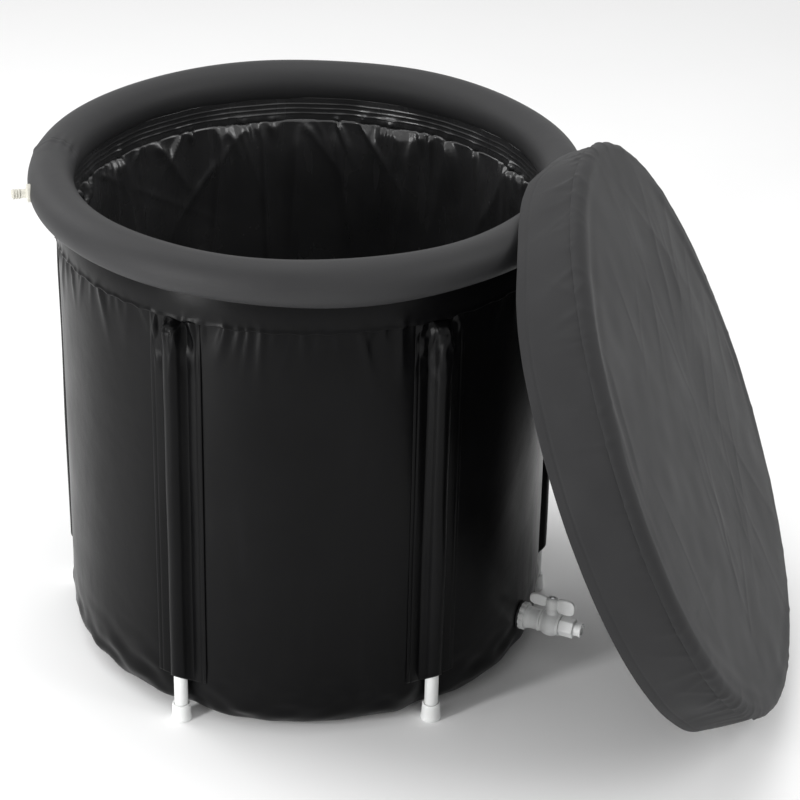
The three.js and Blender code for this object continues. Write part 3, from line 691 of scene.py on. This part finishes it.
def sleeveShape(poleAngle, seed, style=sleeveStyle):
    def shape(across, along):
        sideways = style["half"] * (2 * across - 1)
        angle = poleAngle + sideways / wallRadius
        flat = wallRadius - style["dent"] * wallPress(angle) + style["lift"]
        over = poleCircle + np.sqrt(np.maximum(style["shoulder"] ** 2 - sideways ** 2, 0)) + style["over"]
        crest = style["shoulder"] * 0.7
        fall = smoothStep(np.abs(sideways), crest, style["bulge"])
        tent = (poleCircle + style["shoulder"] * 0.55) * (1 - fall) + flat * fall
        radius = np.maximum(np.maximum(flat, tent), np.where(np.abs(sideways) < style["shoulder"], over, 0))
        foot = style["bottom"] + np.maximum(radius - flat.min(), 0) * math.tan(style["bevel"])
        level = foot + along * (style["top"] - foot)
        away = style["top"] - level
        radius = flat + (radius - flat) * smoothStep(away, -0.002, style["close"])
        point = aroundZ(angle, radius, level)
        crush = softWaves(point, style["crumpleLength"], seed) * bell(away, style["crumpleReach"])
        ease = softWaves(point, style["easeLength"], seed + 40)
        free = 1 - np.abs(2 * across - 1) ** 4
        radius = radius + free * (style["crumple"] * np.maximum(crush + 0.4, 0) + style["ease"] * (ease + 1))
        seam = np.abs(sideways) - style["half"] + style["weldAway"]
        radius -= style["weld"] * bell(seam, style["weldWidth"])
        return aroundZ(angle, radius, level)
    return shape


for number, poleAngle in enumerate(poleAngles, 1):
    pocket = sleeveShape(poleAngle, 60 + number)
    clothPiece(f"poleSleeve{number}", sleeveStyle, pocket, wallVinyl, [f"pole_sleeve_{number}"])
print("sleeves made")


# poles and their feet, made once and copied round

poleLow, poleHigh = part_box("pole_1")
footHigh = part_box("pole_foot_1")[1]
footStyle = {"radius": 0.015, "neck": 0.0126, "height": footHigh.z, "sole": 0.005, "steps": 48}
poleStyle = {"radius": 0.01, "wall": 0.0016, "steps": 40}


def makePole(style):
    bore = style["radius"] - style["wall"]
    profile = tubeProfile(bore, style["radius"], poleLow.z, poleHigh.z)
    return softenEdges(turnPiece("pole", profile, style["steps"], closed=True), 0.0003)


def makeFoot(style):
    bore = poleStyle["radius"] + 0.0003
    radius, neck, sole, high = style["radius"], style["neck"], style["sole"], style["height"]
    profile = [
        (radius - 0.0012, 0.0), (radius, 0.0012), (radius, sole), (radius - 0.0008, sole + 0.001),
        (neck + 0.0006, high - 0.0045), (neck + 0.0006, high - 0.001), (neck, high),
        (bore, high), (bore, sole), (0.002, sole),
    ]
    return softenEdges(turnPiece("poleFoot", profile, style["steps"]), 0.0005)


firstPole = setPiece(makePole(poleStyle), (poleCircle, 0, 0))
firstFoot = setPiece(makeFoot(footStyle), (poleCircle, 0, 0))
for number, poleAngle in enumerate(poleAngles, 1):
    dress(copyTurned(firstPole, f"supportPole{number}", poleAngle), whitePlastic, stands=[f"pole_{number}"])
    dress(copyTurned(firstFoot, f"poleFoot{number}", poleAngle), whitePlastic, stands=[f"pole_foot_{number}"])
for spare in (firstPole, firstFoot):
    bpy.data.objects.remove(spare)
print("poles made")


# inside: ridged rim band and the gathered liner

rimLow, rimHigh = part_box("rim_band")
linerLow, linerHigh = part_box("inner_liner")
linerRadius = rimHigh.x
rimStyle = {
    "steps": (480, 72), "skin": 0.0012, "inset": 0.0004, "tuck": 0.0035,
    "ridges": 3, "ridge": 0.0006, "ridgeWidth": 0.0014, "ridgeStart": 0.7,
    "slack": 0.0009, "slackLength": (0.07, 0.07, 0.12), "gatherReach": (0.006, 0.016), "gatherShare": 0.35,
}
linerStyle = {
    "steps": (760, 150), "skin": 0.0012, "inset": 0.0004, "corner": 0.04, "limit": 0.014,
    "floorClear": (0.03, 0.16), "drainClear": (0.03, 0.075),
    "slack": 0.0012, "slackLength": (0.11, 0.11, 0.16), "slackStart": 0.06,
    "puckers": {
        "seed": 44, "count": 130, "reach": (0.015, 0.1), "width": (0.005, 0.014), "rise": (0.001, 0.014),
        "lean": 0.9, "spread": 1.2, "edge": 1.2, "bunch": 0.09, "start": (-0.004, 0.012),
    },
    "drapes": {
        "seed": 63, "count": 30, "reach": (0.045, 0.13), "width": (0.012, 0.03), "rise": (0.004, 0.016),
        "lean": 1.6, "spread": 0.6, "edge": 1.1, "bunch": 0.12, "start": (-0.002, 0.02),
    },
    "folds": {
        "seed": 33, "count": 52, "reach": (0.12, 0.5), "width": (0.012, 0.034), "rise": (0.002, 0.011),
        "lean": 0.3, "spread": 0.7, "edge": 1.3, "bunch": 0.06, "start": (0, 0.05),
    },
}
drainLow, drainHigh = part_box("drain_adaptor")
drainLevel = (drainLow.z + drainHigh.z) / 2


def rimShape(across, along):
    style = rimStyle
    angle = 2 * np.pi * across
    base = linerRadius - style["skin"]
    high = ringUnder(base) + style["tuck"]
    level = rimLow.z + along * (high - rimLow.z)
    radius = np.full(len(angle), base - style["inset"])
    pitch = (rimHigh.z - rimLow.z) / (style["ridges"] + 1)
    for ridge in range(style["ridges"]):
        middle = rimHigh.z - pitch * (ridge + style["ridgeStart"])
        radius -= style["ridge"] * bell(level - middle, style["ridgeWidth"])
    point = aroundZ(angle, radius, level)
    radius -= style["slack"] * softWaves(point, style["slackLength"], 35) + style["slack"]
    gathers = dict(linerStyle["puckers"], reach=style["gatherReach"])
    radius -= style["gatherShare"] * creaseField(angle, level - rimLow.z, gathers)
    return aroundZ(angle, radius, level)


def linerShape(across, along):
    style = linerStyle
    angle = 2 * np.pi * across
    level, inward = cornerRun(along, style["corner"], linerLow.z, linerHigh.z)
    away = np.maximum(linerHigh.z - level, 0)
    fold = np.zeros(len(angle))
    for kind in ("puckers", "drapes", "folds"):
        fold += creaseField(angle, away, style[kind]) * smoothStep(away, *style[kind]["start"])
    fold *= smoothStep(level - linerLow.z, *style["floorClear"])
    slack = 1 + softWaves(aroundZ(angle, linerRadius, level), style["slackLength"], 36)
    fold += style["slack"] * slack * smoothStep(away, 0.0, style["slackStart"])
    fold *= smoothStep(np.hypot(wrapTurn(angle) * linerRadius, level - drainLevel), *style["drainClear"])
    fold = style["limit"] * np.tanh(np.maximum(fold, 0) / style["limit"])
    return aroundZ(angle, linerRadius - style["skin"] - style["inset"] - fold - inward, level)


clothPiece("rimBand", rimStyle, rimShape, linerVinyl, ["rim_band"], flip=True)
clothPiece("innerLiner", linerStyle, linerShape, linerVinyl, ["inner_liner"], flip=True)


# liner floor and base: round sheets, the floor with slack wrinkles

sheetStyle = {"steps": (120, 60), "share": 0.8, "inset": 0.0001, "wrinkleLength": (0.16, 0.16, 1), "calmReach": 0.05}


def roundSheet(name, node, seed, wrinkle, finish, faceUp):
    low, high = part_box(node)
    style = dict(sheetStyle, skin=(high.z - low.z) * sheetStyle["share"])

    def shape(across, along):
        radius = high.x * np.sqrt(along)
        flat = aroundZ(2 * np.pi * across, radius, 0.0)
        calm = smoothStep(high.x - radius, 0.0, style["calmReach"])
        rise = wrinkle * (0.5 + 0.5 * np.tanh(softWaves(flat, style["wrinkleLength"], seed))) * calm
        flat[:, 2] = high.z - style["inset"] + rise if faceUp else low.z + style["inset"]
        return flat

    clothPiece(name, style, shape, finish, [node], flip=faceUp)


roundSheet("linerFloor", "liner_floor", 41, 0.0016, linerVinyl, True)
roundSheet("basePanel", "base_panel", 42, 0.0, wallVinyl, False)
print("liner made")


# padded cover leaning on the ring

liftJoint = next(joint for joint in frame["joints"] if joint["name"] == "cover_lift")
coverOut = np.array(liftJoint["axis"], float)
coverOut /= np.linalg.norm(coverOut)
coverSide = np.array([-coverOut[1], coverOut[0], 0])
coverSide /= np.linalg.norm(coverSide)
coverUp = np.cross(coverOut, coverSide)
liningPoints = meshPoints(frame["nodes"]["cover_lining"])
bandPoints = meshPoints(frame["nodes"]["cover_side_band"])
panelPoints = meshPoints(frame["nodes"]["cover_top_panel"])
hemPlane = (bandPoints @ coverOut).min()
coverMiddle = np.array([
    ((liningPoints @ coverSide).max() + (liningPoints @ coverSide).min()) / 2,
    ((liningPoints @ coverUp).max() + (liningPoints @ coverUp).min()) / 2,
])
bandAway = np.hypot(bandPoints @ coverSide - coverMiddle[0], bandPoints @ coverUp - coverMiddle[1])
coverRadius = bandAway.max()
seamHeight = (panelPoints @ coverOut).min() - hemPlane
coverHeight = (panelPoints @ coverOut).max() - hemPlane
liningHeight = (liningPoints @ coverOut).min() - hemPlane
panelStyle = {
    "steps": (560, 190), "skin": 0.002, "round": 0.014, "crown": 0.003,
    "turnShare": 0.16, "turnStart": -12, "turnBy": 102, "turnRun": 1.78,
    "puckers": {
        "seed": 51, "count": 150, "reach": (0.005, 0.024), "width": (0.006, 0.013), "rise": (0.0002, 0.0026),
        "lean": 0.9, "spread": 0.5, "edge": 1.6, "bunch": 0.02,
    },
    "wrinkle": 0.0008, "wrinkleLength": (0.24, 0.24, 1), "wrinkleStart": 0.06,
    "ripple": 0.0003, "rippleLength": (0.09, 0.09, 1), "rippleStart": 0.04,
    "creases": {
        "seed": 58, "count": 34, "length": (0.05, 0.17), "width": (0.005, 0.011), "rise": (0.0003, 0.0012),
        "lie": 1.15, "stray": 0.45, "within": 0.9,
    },
    "creaseStart": (0.015, 0.05),
    "fold": 0.0012, "foldAway": 0.034, "foldWidth": 0.008, "dipAway": 0.018, "dipWidth": 0.012,
}
bandStyle = {
    "steps": (560, 60), "skin": 0.002, "headroom": 0.0006, "inset": 0.0004, "pull": 0.0025, "pullStart": 0.45,
    "wave": 0.0013, "waveLength": (0.12, 0.12, 0.09), "puckerReach": (0.01, 0.05),
    "hem": 0.0006, "hemAway": 0.014, "hemWidth": 0.0016,
}
liningStyle = {
    "steps": (160, 80), "skin": 0.0012, "inset": 0.0066, "drop": 0.0001, "lift": 0.0016,
    "sag": 0.0014, "sagLength": (0.12, 0.12, 1), "sagStart": 0.05,
}


# faint straight lines where the cloth has been folded or stretched
def foldLines(flat, style):
    pick = np.random.default_rng(style["seed"])
    total = np.zeros(len(flat))
    for _ in range(style["count"]):
        place = coverRadius * style["within"] * math.sqrt(pick.uniform()) * np.exp(1j * pick.uniform(0, 2 * np.pi))
        lie = np.exp(-1j * (style["lie"] + style["stray"] * pick.normal()))
        length = pick.uniform(*style["length"])
        width = pick.uniform(*style["width"])
        rise = pick.uniform(*style["rise"])
        local = (flat[:, 0] + 1j * flat[:, 1] - place) * lie
        total += rise * np.exp(-np.abs(local.imag / width) ** 1.4) * bell(local.real, length)
    return total


def onCover(angle, radius, height):
    sideways = coverMiddle[0] + radius * np.cos(angle)
    upwards = coverMiddle[1] + radius * np.sin(angle)
    return np.outer(sideways, coverSide) + np.outer(upwards, coverUp) + np.outer(hemPlane + height, coverOut)


# how far the hem rides up over the ring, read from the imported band
def hemLift(angle):
    bandAngle = np.arctan2(bandPoints @ coverUp - coverMiddle[1], bandPoints @ coverSide - coverMiddle[0])
    level = bandPoints @ coverOut - hemPlane
    places = np.unique(np.round(bandAngle, 4))
    lifts = np.array([level[np.abs(bandAngle - place) < 0.001].min() for place in places])
    return np.interp(angle, np.concatenate([places - 2 * np.pi, places, places + 2 * np.pi]), np.tile(lifts, 3))


def panelShape(across, along):
    style = panelStyle
    angle = 2 * np.pi * across
    edge, share = style["round"], style["turnShare"]
    shoulder = coverRadius - edge
    turning = along < share
    bend = np.radians(style["turnStart"] + style["turnBy"] * np.clip(along / share, 0, 1))
    inner = np.clip((along - share) / (1 - share), 0, 1)
    radius = np.where(turning, shoulder + edge * np.cos(bend), shoulder * (1 - inner))
    top = coverHeight - style["crown"]
    crown = style["crown"] * (1 - (radius / shoulder) ** 2)
    height = np.where(turning, top - edge + edge * np.sin(bend), top + crown)
    fromSeam = np.where(turning, edge * (bend - bend.min()), edge * style["turnRun"] + shoulder * inner)
    flat = aroundZ(angle, radius, 0.0)
    rise = creaseField(angle, fromSeam, style["puckers"])
    for kind, seed in (("wrinkle", 52), ("ripple", 53)):
        wave = softWaves(flat, style[f"{kind}Length"], seed)
        rise += style[kind] * wave * smoothStep(fromSeam, 0.0, style[f"{kind}Start"])
    rise += foldLines(flat, style["creases"]) * smoothStep(fromSeam, *style["creaseStart"])
    fromFold = fromSeam - (style["foldAway"] + 0.008 * np.sin(2 * angle + 0.6) + 0.004 * np.sin(7 * angle))
    strength = style["fold"] * (0.55 + 0.45 * np.sin(3 * angle + 1.2))
    rise += strength * bell(fromFold, style["foldWidth"])
    rise -= strength * bell(fromFold - style["dipAway"], style["dipWidth"])
    turned = np.where(turning, bend, np.pi / 2)
    return onCover(angle, radius + rise * np.cos(turned), height + rise * np.sin(turned))


def bandShape(across, along):
    style = bandStyle
    angle = 2 * np.pi * across
    hem = hemLift(wrapTurn(angle))
    top = seamHeight - style["headroom"]
    height = hem + along * (top - hem)
    radius = coverRadius - style["pull"] * smoothStep(along, style["pullStart"], 1) - style["inset"]
    wave = softWaves(aroundZ(angle, coverRadius, height), style["waveLength"], 54)
    radius += style["wave"] * wave * np.sin(np.pi * np.clip(along, 0.06, 1)) ** 0.8
    radius += creaseField(angle, top - height, dict(panelStyle["puckers"], reach=style["puckerReach"]))
    radius -= style["hem"] * bell(height - hem - style["hemAway"], style["hemWidth"])
    return onCover(angle, radius, height)


def liningShape(across, along):
    style = liningStyle
    angle = 2 * np.pi * across
    reach = coverRadius - style["inset"]
    radius = reach * np.sqrt(along)
    wave = 1 + softWaves(aroundZ(angle, radius, 0.0), style["sagLength"], 55)
    sag = style["sag"] * wave * smoothStep(reach - radius, 0, style["sagStart"])
    return onCover(angle, radius, liningHeight - style["drop"] - sag + style["lift"])


def coverPiece(name, style, shape, stands):
    return clothPiece(name, style, shape, coverCloth, stands, body="cover")


coverPanel = coverPiece("coverPanel", panelStyle, panelShape, ["cover_top_panel", "cover_pad"])
coverBand = coverPiece("coverBand", bandStyle, bandShape, ["cover_side_band"])
coverLining = coverPiece("coverLining", liningStyle, liningShape, ["cover_lining"])
print("cover made")


# drain valve: every piece lies along X at the drain's level

def alongX(piece, start):
    return setPiece(piece, (start, 0, drainLevel), (1, 0, 0))


def spanX(node):
    low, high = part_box(node)
    return low.x, high.x, (high.y - low.y) / 2


def makeLockNut():
    start, end, radius = spanX("drain_lock_nut")
    nutStyle = {"grooves": 12, "depth": 0.0016, "grooveHalf": 0.21, "bore": 0.01335, "steps": 144}
    profile = tubeProfile(nutStyle["bore"], radius, 0, end - start)
    nut = turnPiece("drainLockNut", profile, nutStyle["steps"], closed=True)
    points = meshPoints(nut)
    away = np.hypot(points[:, 0], points[:, 1])
    turn = np.arctan2(points[:, 1], points[:, 0]) * nutStyle["grooves"] / (2 * np.pi) % 1
    inGroove = (np.abs(turn - 0.5) < nutStyle["grooveHalf"]) & (away > radius * 0.9)
    points[inGroove, :2] *= 1 - nutStyle["depth"] / radius
    setPoints(nut, points)
    return alongX(softenEdges(nut, 0.0005, angle=40), start)


def makeAdaptor():
    start, end, radius = spanX("drain_adaptor")
    adaptorStyle = {"bore": 0.01335, "through": 0.008, "socket": 0.014, "groove": 0.001, "steps": 64}
    length = end - start
    bore, through, socket = adaptorStyle["bore"], adaptorStyle["through"], adaptorStyle["socket"]
    waist = radius - adaptorStyle["groove"]
    profile = [
        (bore, 0), (radius, 0), (radius, 0.005), (waist, 0.0062), (waist, length - 0.005), (radius, length - 0.004),
        (radius, length), (through, length), (through, socket), (bore, socket), (bore, 0),
    ]
    adaptor = turnPiece("drainAdaptor", profile, adaptorStyle["steps"], closed=True)
    return alongX(softenEdges(adaptor, 0.0005), start)


def roundBar(name, radius, start, end):
    return alongX(turnPiece(name, [(radius, 0), (radius, end - start)], 64), start)


def uprightBar(name, radius, low, high):
    return setPiece(turnPiece(name, [(radius, 0), (radius, high - low)], 56), (ballPlace, 0, low))


bodyStart, bodyEnd, housingRadius = spanX("valve_body")
ballPlace = (bodyStart + bodyEnd) / 2
valveStyle = {
    "collar": 0.0165, "arcSteps": 28, "steps": 96, "neck": 0.0086, "neckHeight": 0.0265,
    "bore": 0.008, "chamber": 0.0132, "chamberStart": 0.0023, "stem": 0.0063, "voxel": 0.00055,
}


# the ball housing is turned in one go, so that the cuts meet clean faces
def makeValveBody(style):
    half = (bodyEnd - bodyStart) / 2
    arc = np.linspace(-1, 1, style["arcSteps"] + 1) * math.sqrt(housingRadius ** 2 - style["collar"] ** 2)
    outside = [(style["collar"], 0.0)]
    outside += [(math.sqrt(housingRadius ** 2 - step ** 2), half + step) for step in arc if abs(step) < half - 0.0005]
    outside.append((style["collar"], 2 * half))
    body = alongX(turnPiece("valveBody", outside, style["steps"]), bodyStart)
    neck = uprightBar("neck", style["neck"], drainLevel, drainLevel + style["neckHeight"])
    combine(body, [neck], "UNION")
    inlet = roundBar("inlet", style["bore"], bodyStart - 0.002, ballPlace)
    chamber = roundBar("chamber", style["chamber"], bodyStart + style["chamberStart"], bodyEnd + 0.002)
    well = uprightBar("well", style["stem"], drainLevel + 0.003, drainLevel + 0.05)
    combine(body, [inlet, chamber, well], "DIFFERENCE")
    return mould(body, style["voxel"], 4)


handleStyle = {
    "hub": 0.0096, "hubHeight": 0.018, "gap": 0.0007, "bore": 0.0049, "screwWell": 0.0042, "steps": 56,
    "voxel": 0.00045, "thick": 0.007, "reach": 0.036, "earInHub": 0.003,
    "smallEar": 0.0095, "smallRise": 0.036, "largeEar": 0.013, "largeRise": 0.033,
}


# one ear: an oval plate, thinner and rounded towards its rim
def makeEar(style, side, half, rise):
    length = (style["reach"] - style["hub"] + style["earInHub"]) / 2
    clearSelection()
    bpy.ops.mesh.primitive_uv_sphere_add(segments=48, ring_count=32, radius=1)
    ear = namePiece("ear")
    points = meshPoints(ear)
    away = np.clip(np.abs(points[:, 1]), 0, 1)
    points[:, 1] = np.sign(points[:, 1]) * away ** 0.45
    for axis in (0, 2):
        points[:, axis] = np.sign(points[:, axis]) * np.abs(points[:, axis]) ** 0.7
    points *= np.array([length, style["thick"] / 2, half])
    setPoints(ear, points)
    return setPiece(ear, (ballPlace + side * (style["reach"] - length), 0, drainLevel + rise))


def makeHandle(style):
    low = drainLevel + valveStyle["neckHeight"] + style["gap"]
    hub, top = style["hub"], style["hubHeight"]
    profile = [
        (hub, 0), (hub, top - 0.006), (hub - 0.0009, top - 0.0032), (hub - 0.003, top - 0.0008), (hub - 0.005, top),
    ]
    handle = setPiece(turnPiece("valveHandle", profile, style["steps"]), (ballPlace, 0, low))
    smallEar = makeEar(style, -1, style["smallEar"], style["smallRise"])
    largeEar = makeEar(style, 1, style["largeEar"], style["largeRise"])
    combine(handle, [smallEar, largeEar], "UNION")
    socket = uprightBar("socket", style["bore"], low - 0.002, low + top - 0.003)
    screwWell = uprightBar("screwWell", style["screwWell"], low + top - 0.004, low + top + 0.004)
    combine(handle, [socket, screwWell], "DIFFERENCE")
    return mould(handle, style["voxel"], 5)


def makeOutlet():
    start, end, _ = spanX("drain_outlet")
    outletStyle = {
        "flats": 0.027, "hexLength": 0.022, "gap": 0.0003, "spigot": 0.01285, "nozzle": 0.01,
        "lip": 0.0009, "lipLength": 0.0035, "bore": 0.0065, "voxel": 0.00045,
    }
    corner = outletStyle["flats"] / math.sqrt(3)
    hexStart = bodyEnd + outletStyle["gap"]
    hexEnd = hexStart + outletStyle["hexLength"]
    block = alongX(turnPiece("drainOutlet", [(corner, 0), (corner, outletStyle["hexLength"])], 6), hexStart)
    softenEdges(block, 0.0012, 3)
    spigot = roundBar("spigot", outletStyle["spigot"], start, hexStart + 0.001)
    nozzle = roundBar("nozzle", outletStyle["nozzle"], hexEnd - 0.001, end - 0.001)
    lip = roundBar("lip", outletStyle["nozzle"] + outletStyle["lip"], end - outletStyle["lipLength"], end)
    combine(block, [spigot, nozzle, lip], "UNION")
    combine(block, [roundBar("bore", outletStyle["bore"], start - 0.002, end + 0.002)], "DIFFERENCE")
    return mould(block, outletStyle["voxel"], 3)


dress(makeLockNut(), whitePlastic, stands=["drain_lock_nut"])
dress(makeAdaptor(), whitePlastic, stands=["drain_adaptor"])
dress(makeValveBody(valveStyle), whitePlastic, stands=["valve_body"])
dress(makeHandle(handleStyle), whitePlastic, body="drain_handle", stands=["valve_handle"])
dress(makeOutlet(), whitePlastic, stands=["drain_outlet"])


# air valve on the ring's left side

plugJoint = next(joint for joint in frame["joints"] if joint["name"] == "plug_pull")
airOut = Vector(plugJoint["axis"]).normalized()
airPlace = airOut * (ringRadius + tubeRadius) + Vector((0, 0, ringLevel))
airStyle = {
    "back": -0.0038, "flange": 0.013, "flangeThick": 0.0026, "neck": 0.0065, "neckLength": 0.009, "bore": 0.0036,
    "head": 0.0076, "groove": 0.0014, "length": 0.012, "ribs": 3, "shank": 0.009, "play": 0.00035, "gap": 0.0003,
}


def makeAirBase(style):
    bore, flange, neck = style["bore"], style["flange"], style["neck"]
    back, front = style["back"], style["flangeThick"]
    top = front + style["neckLength"]
    profile = [
        (bore, back), (flange, back), (flange, front - 0.0006), (flange - 0.0012, front),
        (neck + 0.001, front), (neck, front + 0.001), (neck, top), (bore, top), (bore, back),
    ]
    return setPiece(softenEdges(turnPiece("airValveBase", profile, 64, closed=True), 0.0004), airPlace, airOut)


def makeAirPlug(style):
    start = style["flangeThick"] + style["neckLength"] + style["gap"]
    tip = start - style["shank"]
    pitch = style["length"] / style["ribs"]
    shank, head, groove = style["bore"] - style["play"], style["head"], style["head"] - style["groove"]
    profile = [(shank - 0.0008, tip), (shank, tip + 0.001), (shank, start)]
    for rib in range(style["ribs"]):
        low = start + rib * pitch
        profile += [(head, low), (head, low + 0.55 * pitch), (groove, low + 0.68 * pitch), (groove, low + 0.97 * pitch)]
    profile.append((head - 0.003, start + style["length"]))
    return setPiece(softenEdges(turnPiece("airValvePlug", profile, 60), 0.0003), airPlace, airOut)


dress(makeAirBase(airStyle), palePlastic, stands=["air_valve_base"])
dress(makeAirPlug(airStyle), palePlastic, body="air_plug", stands=["air_valve_plug"])
print("air valve made")


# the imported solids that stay: inner works and foam

finishOf = {
    "base_insulation": greyFoam, "drain_inner_flange": whitePlastic, "drain_gasket_inner": blackRubber,
    "drain_gasket_outer": blackRubber, "valve_seat_inlet": palePlastic, "valve_seat_outlet": palePlastic,
    "valve_ball": whitePlastic, "valve_stem": whitePlastic, "stem_o_ring": blackRubber, "handle_screw": brightSteel,
}
finishOf.update({f"pole_cap_{number}": whitePlastic for number in range(1, 7)})
for node, finish in finishOf.items():
    packed = frame["nodes"][node]
    packed.data.materials.clear()
    packed.data.materials.append(finish)
print("inner works finished")


# floor, light and camera

studio = {"floor": (0.96, 0.96, 0.96), "world": 0.62, "key": 30, "fill": 40, "strip": 26, "top": 38}


def makeFloor():
    clearSelection()
    bpy.ops.mesh.primitive_plane_add(size=60)
    floor = namePiece("studioFloor")
    finish, tree, shader, place = newFinish("studioPaper")
    cloud = noiseNode(tree, place, 3, 2)
    paler = tuple(min(1, tone * 1.02) for tone in studio["floor"])
    tree.links.new(mixColour(tree, cloud.outputs[0], studio["floor"], paler), shader.inputs["Base Color"])
    shader.inputs["Roughness"].default_value = 0.9
    shader.inputs["Specular IOR Level"].default_value = 0.1
    floor.data.materials.append(finish)


def addLamp(name, power, size, place, aim):
    clearSelection()
    bpy.ops.object.light_add(type="AREA", location=place)
    lamp = bpy.context.object
    lamp.name = name
    lamp.data.shape = "RECTANGLE"
    lamp.data.size, lamp.data.size_y = size
    lamp.data.energy = power
    lamp.visible_camera = False
    lamp.rotation_euler = (Vector(aim) - Vector(place)).to_track_quat("-Z", "Y").to_euler()


def cameraWay(azimuth, distance, height):
    turn = math.radians(azimuth)
    return (math.sin(turn) * distance, -math.cos(turn) * distance, height)


def makeStudio():
    world = bpy.data.worlds.new("studioAir")
    bpy.context.scene.world = world
    world.use_nodes = True
    tree = world.node_tree
    light = tree.nodes["Background"]
    light.inputs["Color"].default_value = (1, 1, 1, 1)
    light.inputs["Strength"].default_value = studio["world"]
    seen = addNode(tree, "ShaderNodeBackground")
    seen.inputs["Color"].default_value = (1, 1, 1, 1)
    seen.inputs["Strength"].default_value = 1
    rays = addNode(tree, "ShaderNodeLightPath")
    share = mathNode(tree, "MAXIMUM", rays.outputs["Is Camera Ray"], rays.outputs["Is Transmission Ray"])
    share = mathNode(tree, "MAXIMUM", share, rays.outputs["Is Glossy Ray"])
    blend = addNode(tree, "ShaderNodeMixShader")
    tree.links.new(share, blend.inputs["Fac"])
    tree.links.new(light.outputs[0], blend.inputs[1])
    tree.links.new(seen.outputs[0], blend.inputs[2])
    tree.links.new(blend.outputs[0], tree.nodes["World Output"].inputs["Surface"])
    addLamp("keyLamp", studio["key"], (1.8, 2.2), cameraWay(-88, 2.4, 2.3), (0, 0, 0.6))
    addLamp("fillLamp", studio["fill"], (1.8, 2.0), cameraWay(92, 3.2, 2.6), (0.4, 0, 0.5))
    addLamp("stripLamp", studio["strip"], (0.25, 1.3), cameraWay(-21, 2.1, 0.7), (0, 0, 0.3))
    addLamp("topLamp", studio["top"], (2.6, 2.6), (-0.3, 0.5, 3.4), (0.1, 0, 0.4))


def makeCamera():
    eye = {"place": (1.4750, -2.9696, 2.1504), "azimuth": 24.0, "pitch": 28.37, "roll": 1.37, "lens": 112.5}
    camera = bpy.data.objects.new("photoCamera", bpy.data.cameras.new("photoCamera"))
    bpy.context.scene.collection.objects.link(camera)
    camera.data.lens = eye["lens"]
    camera.data.sensor_width = 36
    turn = Matrix.Rotation(math.radians(eye["azimuth"]), 4, "Z")
    turn = turn @ Matrix.Rotation(math.radians(90 - eye["pitch"]), 4, "X")
    camera.matrix_world = Matrix.Translation(eye["place"]) @ turn @ Matrix.Rotation(math.radians(eye["roll"]), 4, "Z")
    bpy.context.scene.camera = camera


makeFloor()
makeStudio()
makeCamera()
bpy.context.scene.view_settings.view_transform = "Standard"
clearSelection()
print("studio made")
